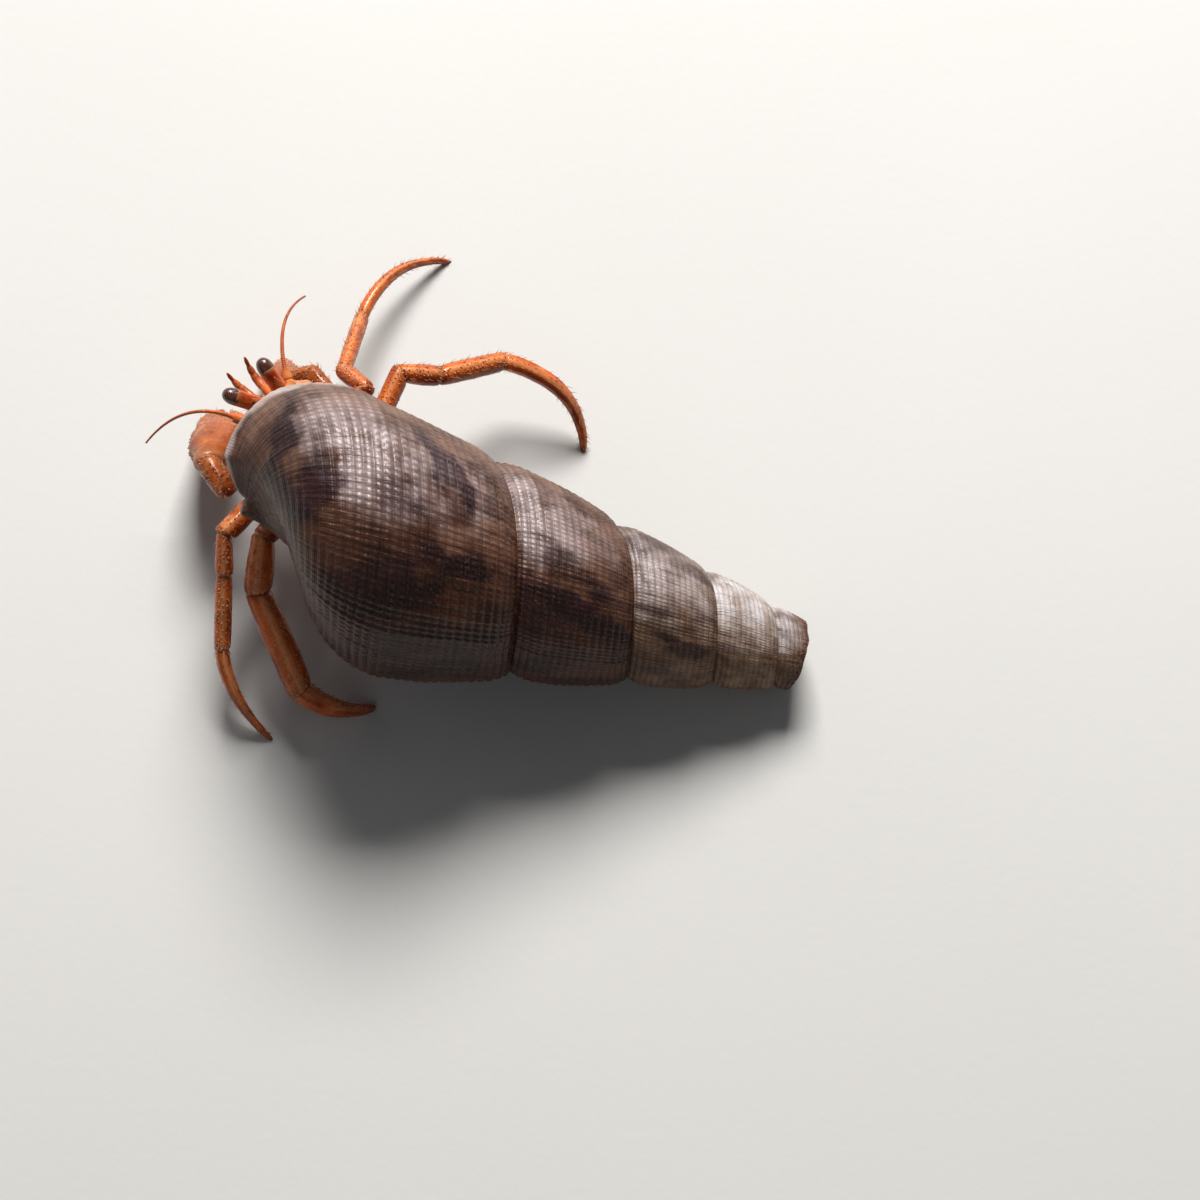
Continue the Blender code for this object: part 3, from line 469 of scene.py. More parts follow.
class Look:
    """A procedural material: a Principled shader and the nodes that feed it."""

    def __init__(self, name, **settings):
        self.material = bpy.data.materials.new(name)
        self.material.use_nodes = True
        self.tree = self.material.node_tree
        self.shader = self.tree.nodes["Principled BSDF"]
        self.place = self.node("TexCoord", {}, "Object")
        for key, value in settings.items():
            self.shader.inputs[key.replace("_", " ").title().replace("Ior", "IOR")].default_value = value

    def feed(self, node, inputs):
        """Give a node's inputs numbers, colours or other nodes' values."""
        for key, value in inputs.items():
            if isinstance(value, Value):
                self.tree.links.new(value.socket, node.inputs[key])
            else:
                node.inputs[key].default_value = (*value, 1.0) if isinstance(value, tuple) else value

    def node(self, kind, inputs, output=0, **settings):
        """What a new node gives."""
        node = self.tree.nodes.new("ShaderNode" + kind)
        for key, value in settings.items():
            setattr(node, key, value)
        self.feed(node, inputs)
        return Value(self, node.outputs[output])

    def attribute(self, name):
        """A named value of the mesh."""
        return self.node("Attribute", {}, "Fac", attribute_name=name)

    def noise(self, size, detail=3.0, place=None):
        """Random values about 0.5, with bumps about as wide as size: millimetres, or the place's units."""
        scale = 1.0 / size if place else 1.0 / (size * MM)
        return self.node("TexNoise", {"Scale": scale, "Detail": detail, "Roughness": 0.55,
                                      "Vector": place or self.place}, "Fac")

    def cells(self, size):
        """The distance from the nearest of many scattered points about size millimetres apart."""
        return self.node("TexVoronoi", {"Scale": 1.0 / (size * MM), "Vector": self.place}, "Distance")

    def plane(self, across, along):
        """A place on a flat sheet, from two values."""
        return self.node("CombineXYZ", {0: across, 1: along})

    def ramp(self, value, low, high):
        """0 at low, 1 at high and a smooth rise between."""
        return self.node("MapRange", {"Value": value, "From Min": low, "From Max": high}, "Result",
                         interpolation_type="SMOOTHSTEP")

    def mix(self, share, first, second):
        """A colour between two."""
        return self.node("Mix", {0: share, 6: first, 7: second}, 2, data_type="RGBA")

    def bump(self, height, depth, under=None):
        """A relief, depth millimetres deep, over another."""
        inputs = {"Distance": depth * MM, "Height": height}
        return self.node("Bump", {**inputs, "Normal": under} if under else inputs, "Normal")

    def finish(self, colour, roughness, normal):
        """Link the colour, roughness and relief to the shader."""
        self.feed(self.shader, {"Base Color": colour, "Roughness": roughness, "Normal": normal})
        return self.material


def shell_look():
    """Glossy tan and cream shell: purple-brown flames, pale lip, worn brown tip, painted shade and highlight.
    """
    look = Look("shell", coat_weight=0.24, coat_roughness=0.13, specular_ior_level=0.24,
                specular_tint=(1.0, 0.68, 0.55, 1.0))
    upper, turn, arc = map(look.attribute, ("upper", "turn", "arc"))
    dark, groove, worn = map(look.attribute, ("dark", "groove", "worn"))
    streaks = look.noise(0.55, 4.0, look.plane(turn * 16.0, arc * 0.22))
    clouds = look.noise(2.6, 3.0, look.plane(turn * 9.0, arc))
    specks = look.noise(0.16)
    patchy = look.ramp(clouds, 0.34, 0.68)
    # Painted shade: the side away from the key light is a darker brown and the side facing it a paler tan,
    # streaks too.
    shade_side_brown = look.mix(patchy, (0.03, 0.008, 0.0048), (0.086, 0.03, 0.0145))
    lit_side_tan = look.mix(patchy, (0.052, 0.019, 0.0125), (0.17, 0.085, 0.055))
    streak = look.mix(upper, (0.12, 0.054, 0.03), (0.26, 0.165, 0.115))
    ground = look.mix(look.ramp(streaks, 0.48, 0.74) * 0.4, look.mix(upper, shade_side_brown, lit_side_tan), streak)
    # The pale small whorls get the same painted shade, darker away from the key light.
    pale_shade_side = look.mix(patchy, (0.155, 0.076, 0.04), (0.32, 0.205, 0.125))
    pale_lit_side = look.mix(patchy, (0.36, 0.285, 0.245), (0.66, 0.62, 0.61))
    ground = look.mix(look.attribute("white"), ground, look.mix(upper, pale_shade_side, pale_lit_side))
    purple = look.mix(look.ramp(clouds, 0.35, 0.7), (0.01, 0.0035, 0.0055), (0.034, 0.011, 0.015))
    colour = look.mix(dark, ground, purple)
    deep = look.mix(look.ramp(specks, 0.3, 0.7), (0.008, 0.003, 0.003), (0.022, 0.009, 0.008))
    colour = look.mix(look.attribute("deep"), colour, deep)
    # Painted shade darkens the grooves between the cords.
    colour = look.mix(groove * 0.45, colour, look.mix(0.6, colour, (0.03, 0.012, 0.009)))
    colour = look.mix(look.ramp(specks, 0.55, 0.8) * 0.14, colour, (0.42, 0.28, 0.2))
    # Painted highlight: a pale lavender sheen where the key light would reflect, with painted glints on the
    # bead crests there and a faint paling of the crests elsewhere.
    painted_sheen = look.attribute("crown") * look.ramp(clouds, 0.32, 0.56) * (dark * -0.8 + 1.0)
    colour = look.mix(painted_sheen * 0.34, colour, (0.52, 0.47, 0.5))
    colour = look.mix(look.attribute("crest") * (painted_sheen * 0.52 + 0.01), colour, (0.68, 0.64, 0.68))
    pale = look.mix(look.ramp(clouds, 0.3, 0.7), (0.36, 0.27, 0.24), (0.52, 0.44, 0.41))
    colour = look.mix(look.attribute("pale"), colour, pale)
    brown = look.mix(look.ramp(specks, 0.35, 0.65), (0.045, 0.018, 0.012), (0.2, 0.1, 0.065))
    colour = look.mix(worn, colour, brown)
    roughness = look.noise(0.9) * 0.2 + 0.22 + (groove * 0.35 + worn) * 0.35
    normal = look.bump(look.noise(0.1, 3.0, look.plane(turn * 7.0, arc * 0.08)), 0.05)
    normal = look.bump(specks, 0.02, look.bump((arc * (TAU / 0.15)).math("SINE"), 0.004, normal))
    return look.finish(colour, roughness, normal)


made_looks = {}


def hard(name="limb_skin"):
    """One kind of piece's hard skin, made once: glossy, a little see-through and horn-brown at its tips."""
    if name in made_looks:
        return made_looks[name]
    base, deep = SKINS[name]
    look = Look(name, coat_weight=0.3, coat_roughness=0.13, specular_ior_level=0.34,
                specular_tint=(1.0, 0.7, 0.5, 1.0), subsurface_weight=0.08, subsurface_scale=0.35 * MM,
                subsurface_radius=(1.0, 0.32, 0.12))
    pits = look.cells(0.17)
    # The tone value carries each piece's own darker parts and the painted shade on its underside.
    tone = look.attribute("tone") + (look.noise(0.8, 4.0) - 0.5) * 1.5
    colour = look.mix(look.ramp(tone, 0.1, 0.95), base, deep)
    colour = look.mix(look.ramp(look.noise(1.5), 0.52, 0.72) * 0.4, colour, PALE_ORANGE)
    colour = look.mix(look.ramp(look.noise(0.09, 2.0), 0.55, 0.85) * 0.25, colour, PALE_ORANGE)
    colour = look.mix(look.ramp(pits, 0.25, 0.05) * 0.25, colour, deep)
    colour = look.mix(look.attribute("pale"), colour, look.mix(0.3, PALE_ORANGE, (0.84, 0.62, 0.44)))
    colour = look.mix(look.attribute("horn"), colour, HORN_BROWN)
    normal = look.bump(look.ramp(pits, 0.0, 0.3), 0.012, look.bump(look.noise(0.22, 4.0), 0.035))
    made_looks[name] = look.finish(colour, look.noise(0.3) * 0.25 + 0.26, normal)
    return made_looks[name]


def soft_look():
    """Pale, finely wrinkled skin between the plates and on the belly."""
    look = Look("soft_skin", coat_weight=0.12, coat_roughness=0.3, subsurface_weight=0.35,
                subsurface_scale=0.6 * MM, subsurface_radius=(1.0, 0.45, 0.25))
    fine = look.noise(0.12)
    colour = look.mix(look.ramp(look.noise(1.1, 4.0), 0.35, 0.7), (0.5, 0.21, 0.1), (0.74, 0.44, 0.27))
    colour = look.mix(look.ramp(fine, 0.5, 0.75) * 0.4, colour, (0.8, 0.58, 0.43))
    colour = look.mix(look.attribute("tone") * 0.5, colour, (0.52, 0.15, 0.035))
    normal = look.bump(look.noise(0.4, 4.0), 0.06, look.bump(fine, 0.05))
    return look.finish(colour, look.noise(0.25) * 0.25 + 0.35, normal)


def eye_look():
    """Dark, wet-looking eye with a fine net of facets."""
    look = Look("eye", coat_weight=0.4, coat_roughness=0.1)
    facets = look.cells(0.045)
    colour = look.mix(look.ramp(look.noise(0.3), 0.35, 0.7), (0.03, 0.009, 0.006), (0.095, 0.028, 0.016))
    colour = look.mix(look.ramp(facets, 0.3, 0.7) * 0.4, colour, (0.15, 0.055, 0.032))
    return look.finish(colour, 0.16, look.bump(look.ramp(facets, 0.0, 0.8), -0.006))


def bristle_look():
    """Golden-brown bristles, darker at the root."""
    look = Look("bristles", coat_weight=0.15, coat_roughness=0.3)
    colour = look.mix(look.attribute("height"), (0.22, 0.065, 0.018), (0.62, 0.34, 0.14))
    colour = look.mix(look.noise(0.3) * 0.4, colour, (0.4, 0.13, 0.04))
    return look.finish(colour, 0.42, look.bump(look.noise(0.05), 0.004))


def floor_look():
    """Plain pale studio floor."""
    look = Look("studio_floor")
    colour = look.mix(look.noise(30.0, 2.0), (0.58, 0.57, 0.55), (0.62, 0.61, 0.59))
    return look.finish(colour, 0.85, look.bump(look.noise(0.5), 0.01))


def whorl_scale(turn):
    """The size of the whorl at a growth angle, against the lip."""
    return WHORL_RATIO ** (-turn / TAU)


def shell_points(flat, turn):
    """Points of the shell from pairs, place along its axis and distance from it, and growth angles."""
    clock = np.asarray(LIP_CLOCK + turn)[..., None]
    return SHELL_FRONT + flat[..., :1] * AXIS + (np.sin(clock) * RIGHT + np.cos(clock) * TOP) * flat[..., 1:]


def tuck(along, radius, turn):
    """How far the outer wall draws in towards the axis just before the lip."""
    near = np.maximum(0.0, 1.0 + turn / TUCK_ANGLE) ** TUCK_POWER
    return LIP_TUCK * near * np.sin(math.pi * rise(along, SUTURE_AT, TUCK_FRONT)) * rise(radius, *TUCK_RADII)


def lip_outline():
    """The lip's outline in pairs from its suture to its pillar, and the length up to each."""
    share = even(SIDE_ROWS + 1)
    share = share - 0.35 * np.sin(TAU * share) / TAU
    along = SUTURE_AT + (WHORL_END - SUTURE_AT) * share
    past = np.maximum(along - PERIPHERY_AT, 0.0)
    radius = PERIPHERY_RADIUS - SIDE_TAPER * past
    radius += SIDE_BULGE * np.sin(math.pi * past / (SUTURE_AT - PERIPHERY_AT))
    before = np.maximum(PERIPHERY_AT - along, 0.0) / (PERIPHERY_AT - BASE_END_AT)
    radius -= (PERIPHERY_RADIUS - BASE_END_RADIUS) * (1.0 - np.sqrt(1.0 - before ** 2))
    radius -= SHOULDER_DROP * np.maximum(0.0, 1.0 - (SUTURE_AT - along) / SHOULDER_WIDTH) ** 2
    start = ramp(share, 0.0, 0.02)
    radius = radius * start + SUTURE_RADIUS * (1.0 - start)
    angle = 0.5 * math.pi * even(BASE_ROWS + 1)[1:]
    base = np.stack((PERIPHERY_AT - (PERIPHERY_AT - BASE_END_AT) * np.sin(angle),
                     BASE_END_RADIUS + (PERIPHERY_RADIUS - BASE_END_RADIUS) * np.cos(angle)), axis=-1)
    outline = np.concatenate((np.stack((along, radius), axis=-1), base[base[:, 0] < along[-1] - 0.05]))
    return outline, np.cumsum(np.linalg.norm(np.diff(outline, axis=0, prepend=outline[:1]), axis=1))


def build_shell():
    """The whole shell as one closed skin: whorls, worn tip, base, pillar, lip and the hollow of the mouth."""
    outline, arc = lip_outline()
    rows = len(arc) + PILLAR_ROWS
    last = TURNS * TURN_COLUMNS
    first = last - TURN_COLUMNS
    turn = TAU * (np.arange(last + 1)[:, None] - last) / TURN_COLUMNS
    share = arc / arc[SIDE_ROWS]
    # Where a smaller whorl runs into the next suture, its edge dips into the groove.
    dip = 0.16 * ramp(-turn, TAU, TAU + 0.2) * ramp(share, 0.95, 1.0) ** 2
    wall = APEX + (outline - APEX) * whorl_scale(turn)[..., None]
    wall[..., 1] -= (dip + tuck(*outline.T, turn)) * whorl_scale(turn)
    step = even(PILLAR_ROWS + 1)[1:]
    left = 1.0 - np.minimum(1.0, step / PILLAR_ROUNDING)
    pillar = PILLAR_TIP + (wall[:, -1:] - PILLAR_TIP) * np.stack((left, left ** PILLAR_FLARE), axis=-1)
    rounding = rise(step, PILLAR_ROUNDING, 1.0)
    pillar[..., 0] -= 0.25 * PILLAR_TIP[1] * rounding
    pillar[..., 1] *= np.sqrt(1.0 - rounding ** 2)
    flat = np.concatenate((wall, pillar), axis=1)
    grid = shell_points(flat, turn)

    # Only the last whorl shows its base and pillar. Each smaller whorl ends at the next one's suture.
    index = np.arange((last + 1) * rows).reshape(last + 1, rows)
    index[first, SIDE_ROWS] = index[last, 0]
    index[:, -1] = index[first, -1]
    upper = index[:first + 1, :SIDE_ROWS + 1].copy()
    upper[:, SIDE_ROWS] = index[TURN_COLUMNS:, 0]
    faces = np.concatenate([np.stack((block[:-1, :-1], block[1:, :-1], block[1:, 1:], block[:-1, 1:]),
                                     -1).reshape(-1, 4) for block in (upper, index[first:])])
    used = np.unique(faces)
    points, outward = grid.reshape(-1, 3)[used], -surface_normals(grid, wrap=False).reshape(-1, 3)[used]
    facts = {"turn": turn, "share": np.append(share, share[-1] + step * 0.5),
             "arc": np.append(arc, arc[-1] + step * 4.0)}
    facts = {key: np.broadcast_to(fact, index.shape).ravel()[used] for key, fact in facts.items()}
    height, facts["groove"], facts["crest"] = sculpture(points, **facts)
    points, facts["worn"] = worn_tip(points + outward * height[:, None])
    facts.update(markings(points, outward, facts["turn"], facts["share"]))
    number = np.zeros(index.size, int)
    number[used] = np.arange(len(used))
    shape = Shape()
    shape.add(points, number[faces], **facts)

    # The worn tip's middle.
    rim = number[np.append(index[:TURN_COLUMNS, 0], upper[0, :0:-1])]
    middle = SHELL_FRONT + AXIS * (WORN_TIP - 0.55)
    inner = points[rim] + (middle - points[rim]) * (np.arange(1, TIP_RINGS) / TIP_RINGS)[:, None, None]
    inner = inner + AXIS * (0.1 * noise(inner, 0.5, 10) + 0.04 * noise(inner, 0.2, 11))[..., None]
    shape.inner_rings(rim, inner, middle, worn=1.0, turn=turn[0])

    # The lip's edge, then the hollow of the mouth behind it.
    loop = number[np.append(index[last], index[first, -2:SIDE_ROWS:-1])]
    outer = np.concatenate((flat[last], flat[first, -2:SIDE_ROWS:-1]))
    hollow = mouth_hollow(outer, rows)
    back = -LUMEN_TURN * even(LUMEN_COLUMNS)[:, None] ** 1.3
    lumen = shell_points(APEX + (hollow - APEX) * whorl_scale(back)[..., None], back - 0.02)
    edge = shell_points(0.55 * outer + 0.45 * hollow, LIP_BULGE)
    shape.inner_rings(loop, np.concatenate((edge[None], lumen)), lumen[-1].mean(axis=0), pale=1.0)
    shape.piece("shell", shell_look(), "shell")


def sculpture(points, turn, share, arc):
    """How high cords, beads and growth rests stand at each point, and where grooves and crests are."""
    size = whorl_scale(turn)
    phase = arc / CORD_SPACING * size ** CORD_THINNING
    groove = bell(phase - np.round(phase), GROOVE_WIDTH)
    cords = np.cos(TAU * (phase - 0.5))
    beads = np.cos(turn * BEADS_PER_TURN + 0.9 * noise(points, 1.6, 1))
    sheet = np.stack((turn * 7.0, share * 0.9, 0.0 * turn), axis=-1)
    height = (CORD_HEIGHT * (0.25 * cords - groove) + BEAD_HEIGHT * beads * (1.0 - groove)
              + GROWTH_HEIGHT * (noise(sheet, 0.42, 2) + 0.5 * noise(sheet, 0.17, 3))
              + sum(rest * bell(turn / TAU - at, REST_WIDTH) for at, rest in GROWTH_RESTS))
    fade = ramp(share, 0.0, 0.03) * ramp(share, 2.1, 1.9)
    front = (1.0 - 0.6 * ramp(share, 1.0, 1.5)) * (1.0 - 0.5 * ramp(turn, -0.9, -0.2))
    height = height * fade * front * np.sqrt(size) + 0.05 * noise(points, 2.2, 4) * fade * size
    return height, groove * fade, np.clip(cords, 0.0, 1.0) * np.clip(0.5 + beads, 0.0, 1.0) * fade


def worn_tip(points):
    """Points past the broken end, moved onto its uneven, slightly hollow face, and how worn each point is."""
    axial = (points - SHELL_FRONT) @ AXIS
    from_axis = np.linalg.norm(points - SHELL_FRONT - axial[:, None] * AXIS, axis=1)
    past = axial - (WORN_TIP - 0.1 + 0.16 * noise(points, 0.9, 5) + 0.05 * noise(points, 0.3, 6)
                    - 0.35 * ramp(from_axis, 1.7, 0.4))
    moved = points - AXIS * np.maximum(past, 0.0)[:, None]
    return moved, ramp(past + 0.35 * noise(points, 0.8, 16), -1.3, -0.1)


def markings(points, outward, turn, share):
    """Dark flames and blotches, paler small whorls, the pale lip and pillar, and masks of painted light."""
    ragged = noise(points, 1.1, 7) + 0.6 * noise(points, 0.4, 8)
    turn = turn + TAU * (0.01 * noise(points, 1.3, 12) + 0.005 * noise(points, 0.45, 13))
    share = share + 0.09 * noise(points, 1.4, 14) + 0.05 * noise(points, 0.5, 15)
    flames = noise(np.stack((turn * 1.5, share * 0.55, 0.0 * turn + 5.0), -1), 0.5, 9)
    dark = np.maximum(covered(turn, share, BLOTCHES, ragged), ramp(flames + 0.25 * ragged, 0.35, 0.75) * 0.6)
    pale = ramp(turn, -0.15, -0.03) * 0.85 + ramp(share, 2.15, 2.3) * 0.5
    # The mask of a painted highlight, where the surface faces halfway between the camera and the key light,
    # away from the lip's edge.
    crown = ramp(outward @ PAINTED_HIGHLIGHT_SIDE + 0.04 * ragged, 0.76, 0.98) * ramp(-turn / TAU, 0.03, 0.13)
    # The upper mask is painted shade: it is high on the side facing the key light and low on the far side.
    return {"dark": dark, "deep": covered(turn, share, SPOTS, ragged), "crown": crown,
            "upper": ramp(outward @ PAINTED_LIGHT_SIDE + 0.12 * ragged, 0.05, 0.85),
            "white": ramp(-turn / TAU, 1.55, 2.9) * 0.9, "pale": np.clip(pale, 0.0, 1.0)}


def covered(turn, share, spots, ragged):
    """How much each point is covered by the spots, which have ragged edges."""
    cover = np.zeros(turn.shape)
    for at_turn, at_share, half_turn, half_share, lean, strength in spots:
        across = (turn / TAU - at_turn) + lean * (share - at_share)
        distance = np.hypot(across / half_turn, (share - at_share) / half_share)
        cover = np.maximum(cover, strength * ramp(distance + 0.35 * ragged, 1.25, 0.5))
    return cover


def mouth_hollow(outer, lip_rows):
    """The hollow's outline at the lip, inside the outer one."""
    offset = outer - APERTURE_CENTRE
    angle = np.unwrap(np.arctan2(offset[:, 1], offset[:, 0]))
    reach = np.linalg.norm(offset, axis=1)
    order = np.argsort(angle)
    places = angle.min() + TAU * np.arange(720) / 720
    thick = np.where(np.arange(len(outer)) < lip_rows, LIP_THICKNESS, CALLUS_THICKNESS)
    around, wall = (np.interp(places, angle[order], row[order], period=TAU) for row in (reach, thick))
    around = smoothed(np.minimum(around, smoothed(around, 9)), 5) - smoothed(wall, 9)
    inside = np.minimum(np.interp(angle, places, around, period=TAU), reach - 0.08)
    return APERTURE_CENTRE + offset * (inside / reach)[:, None]


def smoothed(values, reach):
    """A closed row of values, each the mean of its neighbours."""
    return sum(np.roll(values, k) for k in range(-reach, reach + 1)) / (2 * reach + 1)


bristles = Shape()


class Skin:
    """The rings of a limb in a shape. Grains and bristles grow at shares of its length and turns round it."""

    def __init__(self, shape, rings, along, normals):
        self.shape = shape
        self.fields = (rings, normals, np.broadcast_to(along[:, None], rings.shape))

    def footing(self, share, turn):
        """The root of each place, and the ways out, ahead and aside there."""
        rows, sides = self.fields[0].shape[:2]
        row = np.arccos(1.0 - 2.0 * np.clip(share, 0.0, 1.0)) / math.pi * (rows - 1)
        low = np.minimum(row.astype(int), rows - 2)
        part = (row - low)[:, None]
        column = np.mod(turn, 1.0) * sides
        left = column.astype(int) % sides
        right = (left + 1) % sides
        beside = (column - np.floor(column))[:, None]
        roots, out, ahead = ((field[low, left] * (1.0 - part) + field[low + 1, left] * part) * (1.0 - beside)
                             + (field[low, right] * (1.0 - part) + field[low + 1, right] * part) * beside
                             for field in self.fields)
        out = unit(out)
        side = unit(np.cross(out, unit(ahead)))
        return roots[:, None], out[:, None], np.cross(side, out)[:, None], side[:, None]

    def studs(self, places, size, height, seed, **values):
        """Add small blunt grains that lean towards the limb's end."""
        roots, out, ahead, side = self.footing(*places)
        wide = size * np.random.default_rng(seed).uniform(0.65, 1.2, (len(roots), 1, 1))
        angle = TAU * np.arange(6)[:, None] / 6
        ring = side * np.cos(angle) + ahead * np.sin(angle)
        base = roots - out * 0.35 * wide + ring * 1.15 * wide
        middle = roots + (out * 0.55 * height + ahead * 0.12 * height + ring * 0.74) * wide
        tip = roots + (out * 1.05 + ahead * 0.38) * height * wide
        points = np.concatenate((base, middle, tip), axis=1)
        faces = band(np.minimum(closed_rings(3, 6), 12))[:, ::-1]
        self.shape.add(points, faces + 13 * np.arange(len(roots))[:, None, None], **values)

    def hairs(self, places, length, seed):
        """Grow bristles that lean towards the limb's end. They all join one mesh, made last."""
        roots, out, ahead, side = self.footing(*places)
        random = np.random.default_rng(seed)
        each = (len(roots), 1, 1)
        size = length * random.uniform(0.55, 1.15, each)
        lean = out * 0.8 + ahead * random.uniform(0.3, 0.9, each)
        lean = unit(lean + side * random.normal(0.0, 0.22, each))
        curl = ahead * random.uniform(0.15, 0.5, each) - out * 0.1
        step = even(HAIR_RINGS)[:, None]
        centre = roots - out * 0.02 + lean * size * step + curl * size * step ** 2
        angle = TAU * np.arange(3)[:, None] / 3
        ring = side * np.cos(angle) + np.cross(lean, side) * np.sin(angle)
        radius = HAIR_RADIUS * (1.0 - 0.85 * step) * (0.7 + 0.5 * size / length)
        points = centre[:, :, None] + ring[:, None] * radius[..., None]
        table = closed_rings(HAIR_RINGS, 3)
        faces = np.concatenate((band(table), [(0, 2, 1, 1), (*table[-1, :3], table[-1, 2])]))
        tile = len(bristles.parts)
        place = MAP_TILE * np.stack((np.mod(places[1], 1.0), places[0]), axis=-1)
        place = place + np.divide((tile % MAP_TILES, tile // MAP_TILES), MAP_TILES)
        patch = HAIR_PATCH * np.stack(np.meshgrid(np.arange(3) / 2.0, step.ravel()), axis=-1)
        across, up = (place[:, None, None] + patch).reshape(-1, 2).T
        tall = np.broadcast_to(step, points.shape[:3]).ravel()
        bristles.add(points, faces + 3 * HAIR_RINGS * np.arange(len(roots))[:, None, None],
                     height=tall, across=across, up=up)


def build_bristles():
    """All the bristles as one mesh, with a map of each one's small patch where its root lies on the skin."""
    points, faces, values = bristles.arrays()
    places = np.stack((values.pop("across"), values.pop("up")), axis=-1)
    mesh = make_piece("bristles", points, faces, bristle_look(), values=values).data
    corner = np.zeros(len(mesh.loops), np.int32)
    mesh.loops.foreach_get("vertex_index", corner)
    mesh.uv_layers.new(name="OFBake").data.foreach_set("uv", places[corner].astype(np.float32).ravel())


def even_form(form, share):
    """A smooth size at each share of a length, from (share, size) pairs."""
    fine = even(401)
    window = np.hanning(23)[1:-1]
    sizes = np.pad(np.interp(fine, *zip(*form)), 10, mode="reflect", reflect_type="odd")
    return np.interp(share, fine, np.convolve(sizes, window / window.sum(), mode="valid"))


def scaled(form, depth):
    """The form's sizes for one segment."""
    return [(share, size * depth) for share, size in form]


def row_shares(rows):
    """Where the rings of a limb lie along it, closer together towards its ends."""
    return 0.5 - 0.5 * np.cos(np.linspace(0.0, math.pi, rows))


def crosswise(start, end):
    """The level way across a limb, such that its back is up."""
    return unit(np.cross(UP, np.subtract(end, start)))


def limb(start, through, end, planes, form, across, flatness=0.86, rows=LIMB_ROWS):
    """Rings of points of a tapering length between two joint planes, and the way along at each ring."""
    share = row_shares(rows)
    centre = bezier(start, through, end, share)
    along = unit(np.gradient(centre, share, axis=0))
    side = unit(across - along * (along @ across)[:, None])
    size = even_form(form, share)
    grid = ovals(centre, side, np.cross(along, side), flatness * size, size)
    knee = KNEE_ROUND * max(size for place, size in form)
    ends = ((start, planes[0], share, -along[0]), (end, planes[1], 1.0 - share, along[-1]))
    for point, plane, near, outward in ends:
        pull = rise(near, 0.3, 0.0)[:, None]
        grid = grid + along[:, None] * ((point - grid) @ plane / (along @ plane)[:, None] * pull)[..., None]
        # The outer corner of a bent joint is round, not pointed.
        reach = grid - point
        far = np.maximum(np.linalg.norm(reach, axis=-1), 1e-9)
        over = np.maximum(far - knee, 0.0) * ramp(reach @ outward, 0.0, 0.3 * knee) * ramp(pull, 0.0, 0.3)
        grid = grid - reach * (over / far)[..., None]
    return grid, along


def end_rings(ring, way, form):
    """Smaller rings past a tube's end, from (size, distance) pairs."""
    centre = ring.mean(axis=0)
    return np.array([centre + (ring - centre) * size + way * out for size, out in form])


def add_limb(shape, grid, along, depth, neck=NECK, cup=CUP, lumps=0.03, seed=20, **values):
    """A limb's hard tube, with a soft neck that goes into the cup of the segment before. Returns its skin."""
    normals = surface_normals(grid)
    relief = noise(grid, 0.55, seed) + 0.5 * noise(grid, 0.22, seed + 1)
    ends = np.sin(math.pi * row_shares(len(grid)))[:, None] ** 0.5
    skin = grid + normals * (lumps * depth * relief * ends)[..., None]
    rings = np.concatenate((end_rings(skin[0], -along[0] * depth, neck)[::-1], skin,
                            end_rings(skin[-1], along[-1] * depth, cup)))
    more = ((len(neck), len(cup)), (0, 0))
    values = {key: np.pad(np.broadcast_to(data, skin.shape[:2]), more, mode="edge")
              for key, data in values.items()}
    pale = np.repeat((0.75, 0.0, 0.3), (len(neck), len(skin), len(cup)))[:, None]
    values["pale"] = np.maximum(pale, values.get("pale", 0.0))
    shape.tube(rings, **values)
    return Skin(shape, skin, along, normals)


def scattered(count, shares, turns, seed):
    """Random places: shares of a length, and turns round it."""
    random = np.random.default_rng(seed)
    return random.uniform(*shares, count), random.uniform(*turns, count)


def in_rows(turns, count, shares, seed):
    """Places in rows along a limb, each a little out of line."""
    random = np.random.default_rng(seed)
    total = count * len(turns)
    share = np.tile(np.linspace(*shares, count), len(turns)) + random.normal(0.0, 0.25 / count, total)
    return np.clip(share, 0.01, 0.99), np.repeat(turns, count) + random.normal(0.0, 0.008, total)


def past_gap(joint, way, plane):
    """The place half a gap along the way from a joint's plane."""
    return joint + way * (0.5 * JOINT_GAP / abs(way @ plane))


def build_segments(name, facts, joints, dress, look, slot):
    """The straight segments of a leg or claw, from its root on. Returns the last joint and its plane."""
    root = (facts["side"] * THORAX_HALF_WIDTH, facts["root_y"], ROOT_HEIGHT)
    points = np.array([root] + [facts[joint] for joint in joints])
    ways = unit(np.diff(points, axis=0))
    # A joint's plane halves the bend there.
    planes = [np.array((facts["side"], 0.0, 0.0)), *unit(ways[:-1] + ways[1:])]
    for number, segment in enumerate(list(SEGMENT_FORMS)[:len(joints) - 1]):
        start, end = points[number:number + 2]
        depth = facts["depths"][number]
        first = past_gap(start, ways[number], planes[number])
        last = past_gap(end, -ways[number], planes[number + 1])
        grid, along = limb(first, (first + last) * 0.5, last, planes[number:number + 2],
                           scaled(SEGMENT_FORMS[segment], depth), crosswise(start, end))
        shape = Shape()
        dress(shape, grid, along, depth, np.linalg.norm(end - start), 10 * number + len(name))
        shape.piece("%s_%s" % (name, segment), look, slot)
    return points[-2], planes[-1]


